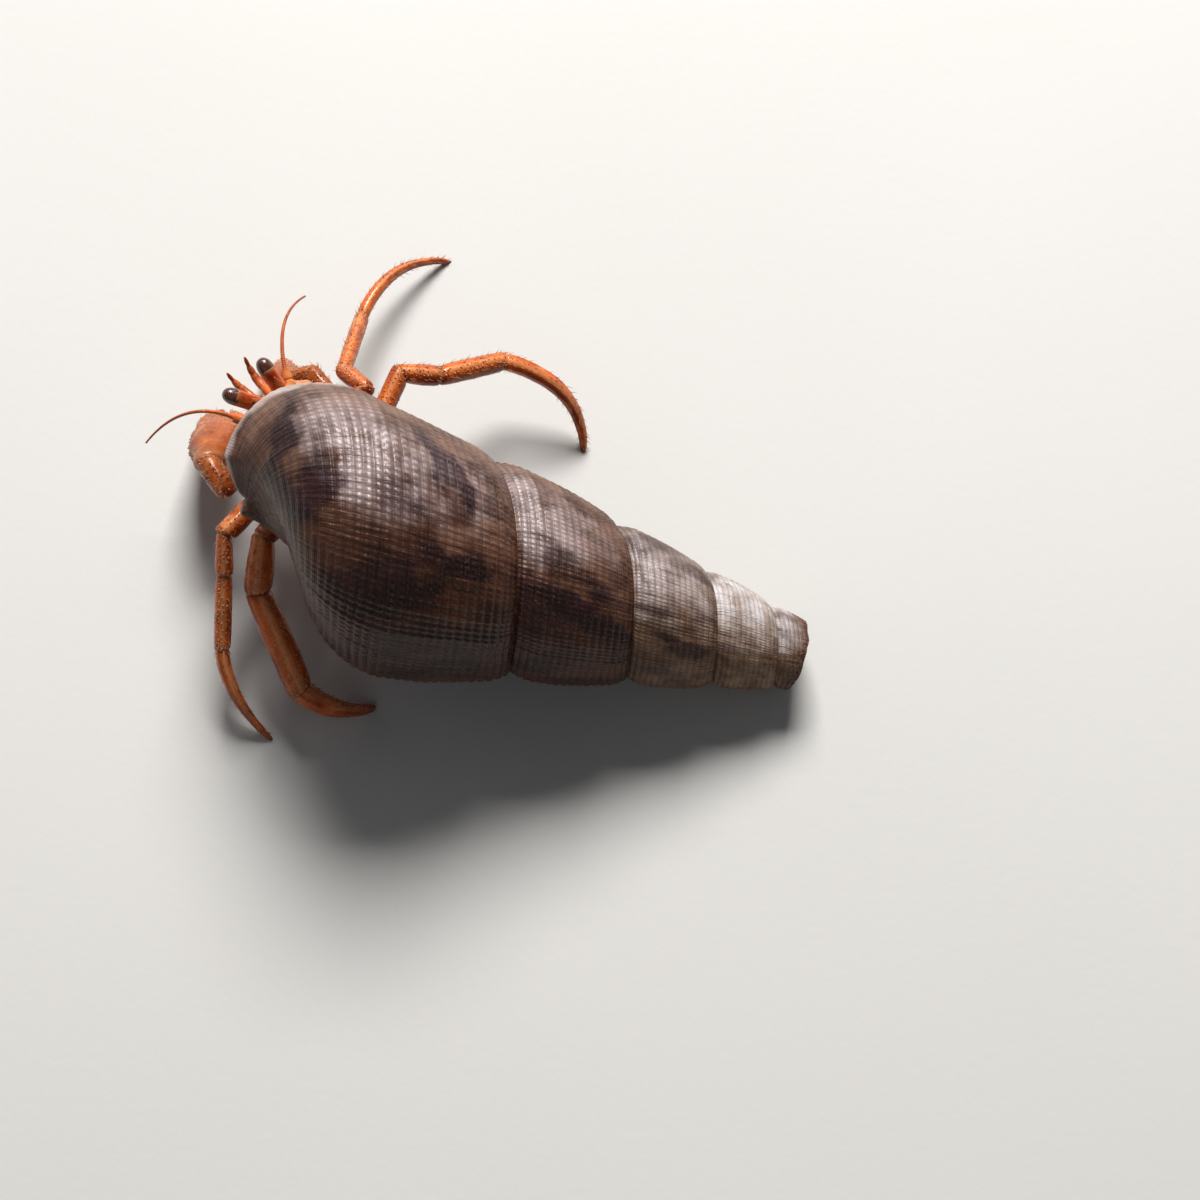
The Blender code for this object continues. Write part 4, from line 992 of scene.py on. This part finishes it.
def dress_leg(shape, grid, along, depth, length, seed):
    """A leg segment with a ridge, rows of grains and tufts of bristles."""
    seed += 40
    share = row_shares(LIMB_ROWS)[:, None]
    turn = np.arange(LIMB_SIDES) / LIMB_SIDES
    ridge = bell(turn - 0.25, 0.045)
    grid = grid + surface_normals(grid) * (0.05 * depth * ridge * np.sin(math.pi * share))[..., None]
    # Painted shade darkens the underside and a painted highlight pales the top ridge; the segment is also
    # darker near its ends and paler at its joints.
    tone = 0.55 - 0.38 * np.sin(TAU * turn) + 0.25 * share + 0.3 * ramp(np.abs(share - 0.5), 0.3, 0.44)
    pale = 0.4 * ridge + 0.35 * ramp(share, 0.06, 0.0) + 0.45 * ramp(share, 0.95, 1.0)
    skin = add_limb(shape, grid, along, depth, seed=seed, tone=tone, pale=pale)
    rows = in_rows((0.25, 0.17, 0.33), max(4, int(length * 4.5)), (0.1, 0.94), seed)
    skin.studs(rows, 0.05, 1.35, seed, tone=0.55, pale=0.3)
    loose = scattered(int(length * depth * 22), (0.05, 0.96), (-0.05, 0.55), seed + 1)
    skin.studs(loose, 0.032, 0.9, seed + 1, tone=0.3, pale=0.4)
    tufts = in_rows((0.12, 0.2, 0.3, 0.38), max(3, int(length * 3.0)), (0.15, 0.97), seed + 2)
    skin.hairs(tufts, 0.34, seed + 3)


def dress_claw(shape, grid, along, depth, length, seed):
    """A claw segment with rows of grains and scattered bristles."""
    seed += 120
    share = row_shares(LIMB_ROWS)[:, None]
    # Painted shade darkens the underside; the segment is also darker towards its end and paler at its joints.
    tone = 0.45 - 0.32 * np.sin(TAU * np.arange(LIMB_SIDES) / LIMB_SIDES) + 0.3 * share
    pale = 0.3 * ramp(share, 0.08, 0.0) + 0.3 * ramp(share, 0.94, 1.0)
    skin = add_limb(shape, grid, along, depth, seed=seed, tone=tone, pale=pale)
    skin.studs(in_rows((0.12, 0.25, 0.38), 8, (0.12, 0.92), seed), 0.055, 1.4, seed, tone=0.9, pale=0.2)
    loose = scattered(70, (0.05, 0.96), (-0.05, 0.55), seed + 1)
    skin.studs(loose, 0.036, 0.9, seed + 1, tone=0.5, pale=0.3)
    skin.hairs(scattered(46, (0.2, 0.97), (0.0, 0.5), seed + 2), 0.3, seed + 3)


def build_leg(name, leg):
    """A walking leg: four straight segments and a curved dactyl, grooved, spined below and horn-tipped."""
    joints = ("hip", "knee", "wrist", "ankle", "bend")
    ankle, plane = build_segments(name, leg, joints, dress_leg, hard(), "limbs")
    depth = leg["depths"][4]
    first = past_gap(ankle, unit(leg["bend"] - ankle), plane)
    form = scaled(DACTYL_FORM, depth) + [(1.0, DACTYL_END)]
    across = crosswise(ankle, leg["tip"])
    grid, along = limb(first, leg["bend"], leg["tip"], (plane, -UP), form, across, rows=DACTYL_ROWS)
    share = row_shares(DACTYL_ROWS)[:, None]
    turn = np.arange(LIMB_SIDES) / LIMB_SIDES
    grooves = sum(bell(turned_from(turn, at), 0.022) for at in (0.03, 0.14, 0.36, 0.47, 0.75))
    grooves = grooves * ramp(share, 0.05, 0.2) * ramp(share, 0.96, 0.8)
    grid = grid - surface_normals(grid) * (0.055 * depth * grooves)[..., None]
    # Painted shade darkens the underside and a painted highlight runs along the top; the dactyl is also
    # darker towards its tip and in its grooves, and paler at its root.
    tone = 0.4 + 0.4 * share - 0.3 * np.sin(TAU * turn) + 0.2 * grooves
    pale = 0.35 * np.maximum(bell(turn - 0.25, 0.06) * ramp(share, 0.95, 0.7), ramp(share, 0.06, 0.0))
    horn = ramp(share + 0.02 * np.sin(TAU * turn * 3.0), 0.88, 0.95)
    shape = Shape()
    skin = add_limb(shape, grid, along, depth, cup=TIP_CAP, seed=90 + len(name),
                    tone=tone, pale=pale, horn=horn)
    skin.studs(in_rows((0.71, 0.79), 13, (0.16, 0.9), 91), 0.045, 2.0, 92, tone=1.0, horn=0.8)
    skin.studs(in_rows((0.2, 0.3), 12, (0.05, 0.8), 93), 0.036, 1.2, 94, tone=0.9)
    skin.hairs(in_rows((0.1, 0.2, 0.3, 0.4, 0.62, 0.88), 15, (0.06, 0.88), 95 + len(name)), 0.3, 96)
    shape.piece(name + "_dactyl", hard(), "limbs")


def palm_rings(first, tip, across, rows, count, plane):
    """Rings through (share, shift, half breadth, half thickness) rows, and the way along."""
    share = row_shares(count)
    shift, breadth, thickness = (even_form([(row[0], row[k]) for row in rows], share) for k in (1, 2, 3))
    along = unit(tip - first)
    side = unit(across - along * (along @ across))
    centre = first + (tip - first) * share[:, None] + side * shift[:, None]
    grid = ovals(centre, side, np.cross(along, side), breadth, thickness, PALM_SIDES, 0.9)
    for point, way, near in ((first, plane, share), (tip, -UP, 1.0 - share)):
        if way is not None:
            pull = rise(near, 0.08, 0.0)[:, None]
            grid = grid + along * ((point - grid) @ way / (along @ way) * pull)[..., None]
    return grid, np.broadcast_to(along, (count, 3))


def build_claw(name, claw):
    """A claw: three segments, the palm with its fixed finger, and the moving finger, toothed and granular."""
    look = hard("claw_skin")
    wrist, plane = build_segments(name, claw, ("hip", "elbow", "wrist", "tip"), dress_claw, look, "claws")
    tip, across = np.array(claw["tip"]), np.array(claw["across"])
    along = unit(tip - wrist)
    first = past_gap(wrist, along, plane)
    hinge = first + (tip - first) * (PALM_SHARE + 0.012)
    breadth, thickness = claw["breadth"], claw["thickness"]
    palm = [(share, shift, wide * breadth, deep * thickness) for share, shift, wide, deep in PALM_FORM]
    fingers = [(share, wide * breadth, deep * thickness) for share, wide, deep in FINGERS]
    start = PALM_SHARE + 0.045
    palm += [(start + (1.0 - start) * share, -(wide + FINGER_GAP), wide, deep)
             for share, wide, deep in fingers]
    palm.append((1.0, -FINGER_TIP - FINGER_GAP, FINGER_TIP, FINGER_TIP))
    moving = [(share, (wide + FINGER_GAP * 0.8) * (1.0 if share else 0.85), wide, deep)
              for share, wide, deep in fingers]
    moving.append((1.0, FINGER_TIP + FINGER_GAP, FINGER_TIP, FINGER_TIP))
    seed = 160 + len(name)
    turn = np.arange(PALM_SIDES) / PALM_SIDES
    # The outer face of the claw looks ahead and up.
    face = 0.25 if np.cross(along, across) @ (FORWARD + UP) > 0.0 else 0.75
    parts = zip(CLAW_PARTS.items(), (palm, moving), (first, hinge), (plane, None))
    for (part, facts), rows, begin, root_plane in parts:
        grid, way = palm_rings(begin, tip, across, rows, facts["rings"], root_plane)
        share = row_shares(facts["rings"])[:, None]
        inner, finger = facts["inner"], ramp(share, *facts["finger"])
        teeth = np.abs(np.sin(share * facts["teeth"] + inner * 3.0)) ** 3 * finger * ramp(share, 1.0, 0.93)
        relief = 0.13 * thickness * teeth * bell(turned_from(turn, inner), 0.05)
        grid = grid + surface_normals(grid) * relief[..., None]
        # The outer face, which looks ahead and up towards the key light, is painted paler and the inner face
        # darker: painted light and shade.
        tone = 0.5 - 0.2 * np.cos(TAU * (turn - face)) + 0.3 * finger + 0.3 * noise(grid, 0.6, seed + 8)
        pale = np.maximum(0.35 * ramp(share, 0.08, 0.0), 0.9 * ramp(relief, 0.01, 0.06))
        shape = Shape()
        skin = add_limb(shape, grid, way, 0.62 * thickness, facts["neck"], TIP_CAP, 0.09, seed,
                        tone=tone, pale=pale, horn=0.8 * ramp(share, *facts["horn"]))
        count = facts["grains"] * breadth
        grains = scattered(int(count), (0.06, 0.93), (face - 0.23, face + 0.23), seed + 1)
        skin.studs(grains, 0.045, 1.0, seed + 1, tone=0.7, pale=0.3)
        grains = scattered(int(0.9 * count), (0.06, 0.93), (face + 0.27, face + 0.73), seed + 2)
        skin.studs(grains, 0.04, 0.9, seed + 2, tone=0.4, pale=0.45)
        edges = in_rows(facts["edges"], 16, facts["edge"], seed + 3)
        skin.studs(edges, 0.065, 1.3, seed + 3, tone=0.9, pale=0.2)
        skin.hairs(scattered(int(110 * breadth), (0.15, 0.95), (0.0, 1.0), seed + 4), 0.26, seed + 5)
        skin.hairs(in_rows((inner - 0.06, inner + 0.06), 14, facts["fringe"], seed + 6), 0.3, seed + 7)
        shape.piece("%s_%s" % (name, part), look, "claws")


def boxy_rings(rows, count, power):
    """Rings across the body, between ellipses and boxes, from (y, half width, bottom, top) rows."""
    angle = TAU * (np.arange(count) + 0.5) / count
    x, z = (np.sign(wave) * np.abs(wave) ** power for wave in (np.cos(angle), np.sin(angle)))
    y, half_width, bottom, top = np.array(rows, float).T[..., None]
    return np.stack((half_width * x, y + 0.0 * x, 0.5 * (top + bottom) + 0.5 * (top - bottom) * z), axis=-1)


def build_shield():
    """The domed front shield of the carapace, with its cross groove, granular flanks and blunt rostrum."""
    places, *sizes = np.array(SHIELD_FORM).T
    keys = rise(places, SHIELD_FRONT, SHIELD_BACK)
    wide, drop = (even_form(tuple(zip(keys, size)), even(SHIELD_ROWS)) for size in sizes)
    bottom = THORAX_TOP + 0.08
    rows = [(y, SHIELD_HALF_WIDTH * width, bottom, SHIELD_TOP - down)
            for y, width, down in zip(np.linspace(SHIELD_FRONT, SHIELD_BACK, SHIELD_ROWS), wide, drop)]
    grid = boxy_rings(rows, 120, 0.7)
    grid[..., 2] = np.maximum(grid[..., 2], bottom + 0.12 * np.abs(grid[..., 0]))
    x, y, z = np.moveaxis(grid, -1, 0)
    x = np.abs(x)
    cross = bell(y - 1.35 + 0.22 * x * x, 0.13) * ramp(x, 2.2, 1.2)
    flank = bell(x - 1.3 - 0.1 * y, 0.1) * ramp(z, 7.6, 8.0) * ramp(y, 2.9, 2.2)
    relief = (-0.19 * cross - 0.12 * flank - 0.07 * bell(x, 0.09) * ramp(y, 1.4, 2.0)
              + 0.075 * noise(grid, 0.8, 30) + 0.03 * noise(grid, 0.3, 31) + 0.012 * noise(grid, 0.12, 36))
    grid = grid + surface_normals(grid) * relief[..., None]
    below = ramp(z, 8.05, 6.7) * ramp(y, 0.4, SHIELD_FRONT)
    front = ramp(y, -0.9, SHIELD_FRONT) * ramp(z, 7.6, 8.2)
    grid[..., 1] += (0.5 * below * (1.0 - 0.6 * ramp(x, 1.2, 1.6))
                     - front * (0.22 * bell(x, 0.22) + 0.1 * bell(x - 1.05, 0.16)))
    rings = np.concatenate((end_rings(grid[0], FORWARD, SHIELD_CAP)[::-1], grid,
                            end_rings(grid[-1], -FORWARD, SHIELD_CAP)))[:, ::-1]
    more = len(SHIELD_CAP)
    depth = np.pad(cross + 0.6 * flank, ((more, more), (0, 0)), mode="edge")[:, ::-1]
    tone = 0.22 + 0.5 * depth + 0.25 * noise(rings, 0.7, 32) + 0.3 * ramp(rings[..., 2], 7.6, 6.9)
    shape = Shape()
    shape.tube(rings, tone=tone, pale=0.1)
    along = np.broadcast_to(-FORWARD, (SHIELD_ROWS, 3))
    skin = Skin(shape, grid[:, ::-1], along, surface_normals(grid)[:, ::-1])
    for turns, seed in (((0.48, 0.68), 33), ((0.82, 1.02), 34)):
        skin.studs(scattered(420, (0.04, 0.96), turns, seed), 0.042, 1.0, 35, tone=0.45, pale=0.3)
    for turns in ((0.5, 0.6), (0.9, 1.0)):
        skin.hairs(scattered(80, (0.04, 0.96), turns, 37), 0.22, 38)
    shape.piece("shield", hard("shield_skin"), "shield", ["carapace_shield"])


def grown_together(forms, voxel, rounds):
    """Closed forms grown together into one smooth skin: its points, normals and faces."""
    mesh = bpy.data.meshes.new("rough_body")
    fill_mesh(mesh, *forms.arrays()[:2])
    rough = add_object("rough_body", mesh)
    remesh = rough.modifiers.new("grown_together", "REMESH")
    remesh.mode = "VOXEL"
    remesh.voxel_size = voxel
    smooth = rough.modifiers.new("smooth", "SMOOTH")
    smooth.iterations = rounds
    smooth.factor = 0.5
    made = bpy.data.meshes.new_from_object(rough.evaluated_get(bpy.context.evaluated_depsgraph_get()))
    points, normals = np.zeros((2, len(made.vertices), 3))
    made.vertices.foreach_get("co", points.ravel())
    made.vertices.foreach_get("normal", normals.ravel())
    faces = np.array([(*face.vertices, face.vertices[2])[:4] for face in made.polygons])
    bpy.data.objects.remove(rough)
    for used in (mesh, made):
        bpy.data.meshes.remove(used)
    return points, normals, faces


def ball(centre, radii):
    """Rings of an ellipsoid, from its bottom to its top."""
    high = np.linspace(-0.5 * math.pi, 0.5 * math.pi, 16)[1:-1]
    wide, deep = (radius * np.cos(high) for radius in radii[:2])
    return ovals(centre + UP * (radii[2] * np.sin(high))[:, None], LEFT, -FORWARD, wide, deep, 24)


def oval_rings(rows, steps=14):
    """Rings through tilted ovals, with more between."""
    place = np.linspace(0.0, len(rows) - 1.0, steps * (len(rows) - 1) + 1)
    x, y, z, wide, high, tilt = (np.interp(place, np.arange(len(rows)), column) for column in zip(*rows))
    lean = np.radians(tilt)
    up = np.stack((0.0 * lean, -np.sin(lean), np.cos(lean)), axis=-1)
    return ovals(np.stack((x, y, z), axis=-1), LEFT, up, wide, high)[:, ::-1]


def build_body():
    """One skin for all soft parts: the thorax under the legs, the rear of the carapace and the belly."""
    forms = Shape()
    thorax = [(y, THORAX_HALF_WIDTH * width, THORAX_BOTTOM + lift, THORAX_TOP)
              for y, width, lift in THORAX_FORM]
    under = [(y, 1.75, THORAX_TOP - 0.6, 7.6) for y in (-1.0, 0.0, 1.5, 2.8, 3.6)]
    forms.tube(boxy_rings(thorax, 48, 0.4)[:, ::-1])
    forms.tube(boxy_rings(under, 40, 0.6)[:, ::-1])
    for rows in (CARAPACE_REAR, CARAPACE_REAR[-1:] + BELLY, (UNDER_SHIELD_RING, SHIELD_REAR_RING)):
        forms.tube(oval_rings(rows))
    for sign in (-1.0, 1.0):
        for (x, y, z), radii in SOCKETS:
            forms.tube(ball((sign * x, y, z), radii))
    forms.tube(ball((0.0, THORAX_FRONT + 0.05, 6.25), (1.0, 0.4, 0.55)))
    points, normals, faces = grown_together(forms, 0.075, 6)
    x, y, z = points.T
    low = ramp(z, 5.3, 4.8) * ramp(y, 4.2, 3.6)
    folds = sum(bell(y - at, 0.07) for at in (-0.95, -0.05, 0.3, 1.8, 3.25))
    seam = bell(x, 0.1) + 0.6 * bell(np.abs(x) - 0.85, 0.07)
    belly = ramp(y + 0.5 * (z - 8.0), 3.9, 4.6)
    rings = np.sin((y * 0.65 + z * 0.75) * TAU / 0.62 + 1.2 * noise(points, 1.2, 60))
    wrinkles = noise(points, 0.35, 61) + 0.6 * noise(points, 0.16, 62)
    relief = (-0.11 * low * folds - 0.08 * low * seam + 0.055 * belly * rings
              + 0.022 * wrinkles * (0.4 + 0.6 * belly)
              - 0.05 * folds * ramp(np.abs(x), 1.3, 1.5) * (1.0 - belly))
    tone = np.clip(0.75 * (1.0 - belly) - 0.5 * low * np.minimum(folds + seam, 1.0), 0.0, 1.0)
    make_piece("soft_body_skin", points + normals * relief[:, None], faces, soft_look(),
               ["thorax", "carapace_rear", "abdomen"], {"tone": tone})


def build_eye(side, start, end):
    """A thick eyestalk with a small scale at its root, and the dark faceted eye over its end."""
    along = unit(np.subtract(end, start))
    across = crosswise(start, end)
    lift = np.cross(along, across)
    stalk_end = end - along * (EYE_LENGTH + 0.04)
    form = scaled(STALK_FORM, STALK_RADIUS)
    middle = (start + stalk_end) * 0.5
    grid, way = limb(start, middle, stalk_end, (FORWARD, along), form, across, flatness=0.9)
    share = row_shares(LIMB_ROWS)[:, None]
    stripe = bell(np.arange(LIMB_SIDES) / LIMB_SIDES - 0.25, 0.11) * ramp(share, 0.1, 0.4)
    shape = Shape()
    skin = add_limb(shape, grid, way, STALK_RADIUS, cup=STALK_CAP, lumps=0.02, seed=70,
                    tone=0.15 + 0.75 * stripe, pale=0.25 * ramp(share, 0.75, 1.0))
    skin.studs(scattered(46, (0.1, 0.9), (0.0, 1.0), 71), 0.026, 0.8, 72, tone=0.6)
    step, wide, thick = np.array(SCALE_FORM).T
    root = start + along * 0.28 + lift * (STALK_RADIUS * 0.8)
    shape.tube(ovals(root + (along + 0.25 * lift) * (step * 0.85)[:, None], across, lift, wide, thick, 20),
               tone=0.7, pale=0.1)
    shape.piece("eyestalk_" + side, hard(), "limbs")

    high = np.linspace(-0.16, 0.5 * math.pi, 47)[:-1]
    radius = STALK_RADIUS * (0.97 * np.cos(np.maximum(high, 0.0)) ** 0.85 - 0.25 * np.maximum(-high, 0.0))
    middle = end + along * (EYE_LENGTH * (np.sin(high) - 1.0))[:, None]
    # The eye reaches further back over the top of its stalk.
    rim = 0.16 * ramp(np.sin(TAU * np.arange(72) / 72), -0.2, 1.0) * ramp(high, 0.7, 0.0)[:, None]
    shape = Shape()
    shape.tube(ovals(middle, across, lift, 0.95 * radius, radius, 72) - along * rim[..., None])
    shape.piece("eye_" + side, eye_look(), "eyes")


def feeler(shape, path, radii, sides, **values):
    """A tube along a smooth path, with a ring for each radius. Returns its skin."""
    share, keys = (even(len(row)) for row in (radii, path))
    centre = np.stack([np.interp(share, keys, column) for column in path.T], axis=-1)
    along = unit(np.gradient(centre, axis=0))
    side = unit(np.cross(UP, along))
    rings = ovals(centre, side, np.cross(along, side), radii, radii, sides)
    shape.tube(rings, **values)
    return Skin(shape, rings, along, surface_normals(rings))


def ringed(share, count, depth):
    """Narrow waists between the rings of a feeler."""
    return 1.0 - depth * bell(share * count - np.round(share * count), 0.13)


def build_feelers(side, sign):
    """Antennule, antenna, outer mouthpart and small fourth leg of one side."""
    mirror = np.array((sign, 1.0, 1.0))
    shape = Shape()
    path = bezier(*ANTENNULE, even(60)) * mirror
    share = even(140)
    radii = even_form(ANTENNULE_FORM, share) * np.where(share > 0.8, ringed(share, 60, 0.2), 1.0)
    feeler(shape, path, radii, 16, tone=0.35 + 0.4 * share[:, None], pale=0.1)
    lower = path[46] + (path[46] - path[40]) * (1.8, 1.8, 0.63) * even(30)[:, None]
    feeler(shape, lower, 0.075 * (1.0 - 0.6 * even(60)) * ringed(even(60), 12, 0.2), 12, tone=0.6, pale=0.2)
    shape.piece("antennule_" + side, hard(), "feelers")

    shape = Shape()
    path = (ANTENNA_ROOT + (ANTENNA_BEND - ANTENNA_ROOT) * even(60)[:, None]) * mirror
    feeler(shape, path, even_form(ANTENNA_FORM, even(90)), 24, tone=0.4, pale=0.15)
    spine = path[20] + 0.25 * UP + mirror * (0.3, -0.95, 0.25) * 0.85 * even(12)[:, None]
    feeler(shape, spine, 0.16 - 0.14 * even(24), 12, tone=0.8, pale=0.1)
    shape.piece("antenna_%s_base" % side, hard(), "feelers")

    shape = Shape()
    start = ANTENNA_BEND + unit(ANTENNA_BEND - ANTENNA_ROOT) * 0.02
    path = bezier(start, WHIP_MIDDLE, WHIP_TIP, even(120)) * mirror
    share = even(420)
    radii = (0.125 - 0.075 * share ** 0.8) * ringed(share, 52, 0.22) * (1.0 + 0.25 * ramp(share, 0.05, 0.0))
    feeler(shape, path, radii, 14, tone=0.35 + 0.5 * share[:, None], pale=0.1)
    shape.piece("antenna_%s_whip" % side, hard(), "feelers")

    shape = Shape()
    path = bezier(*MAXILLIPED, even(60)) * mirror
    skin = feeler(shape, path, even_form(MAXILLIPED_FORM, even(110)), 24, tone=0.15, pale=0.35)
    skin.hairs(scattered(150, (0.35, 0.99), (0.0, 1.0), 140), 0.42, 141)
    shape.piece("maxilliped_" + side, hard(), "limbs")

    # The fourth legs steady the shell, with a rough pad at their ends.
    shape = Shape()
    path = bezier(*FOURTH_LEG, even(80)) * mirror
    skin = feeler(shape, path, even_form(FOURTH_LEG_FORM, even(110)), 26, tone=0.2, pale=0.35)
    skin.hairs(scattered(60, (0.3, 0.98), (0.0, 1.0), 82), 0.24, 83)
    skin.studs(scattered(120, (0.72, 0.98), (0.0, 1.0), 80), 0.03, 1.0, 81, tone=0.9)
    shape.piece("leg_%s_fourth" % side, hard(), "limbs")


def towards(azimuth, elevation):
    """The way from the model to where it is seen from at these angles."""
    around, above = math.radians(azimuth), math.radians(elevation)
    return Vector((math.sin(around) * math.cos(above), -math.cos(around) * math.cos(above), math.sin(above)))


def build_camera():
    """The camera at the photo's angle."""
    back = towards(*CAMERA_ANGLES)
    across = Vector(UP).cross(back).normalized()
    turned = Matrix((across, back.cross(across), back)).transposed().to_4x4()
    turned.translation = CAMERA_TARGET + back * CAMERA_DISTANCE
    data = bpy.data.cameras.new("camera")
    data.lens = CAMERA_LENS
    data.sensor_width = 36.0
    data.clip_start = 0.001
    camera = add_object("camera", data)
    camera.matrix_world = turned
    bpy.context.scene.camera = camera


def build_studio():
    """Pale floor, a soft key light from the top of the picture, and weaker lights round about."""
    mesh = bpy.data.meshes.new("studio_floor")
    half = FLOOR_HALF_SIZE
    corners = ((-half, -half, 0.0), (half, -half, 0.0), (half, half, 0.0), (-half, half, 0.0))
    mesh.from_pydata(corners, [], [(0, 1, 2, 3)])
    mesh.materials.append(floor_look())
    add_object("studio_floor", mesh)
    for name, (azimuth, elevation, distance, size, energy, colour) in LIGHTS.items():
        data = bpy.data.lights.new(name, "AREA")
        data.size = size
        data.energy = energy
        data.color = colour
        light = add_object(name, data)
        light.location = towards(azimuth, elevation) * distance
        light.rotation_euler = towards(azimuth, elevation).to_track_quat("Z", "Y").to_euler()
    world = bpy.data.worlds.new("studio")
    bpy.context.scene.world = world
    world.use_nodes = True
    background = world.node_tree.nodes["Background"]
    background.inputs["Color"].default_value = (0.8, 0.83, 0.88, 1.0)
    background.inputs["Strength"].default_value = 0.1
    bpy.context.scene.view_settings.view_transform = "Standard"


build_camera()
build_studio()
build_shell()
build_body()
build_shield()
for side, sign in (("left", 1.0), ("right", -1.0)):
    build_eye(side, *STALKS[side])
    build_feelers(side, sign)
for name, leg in LEGS.items():
    build_leg(name, leg)
for name, claw in CLAWS.items():
    build_claw(name, claw)
build_bristles()
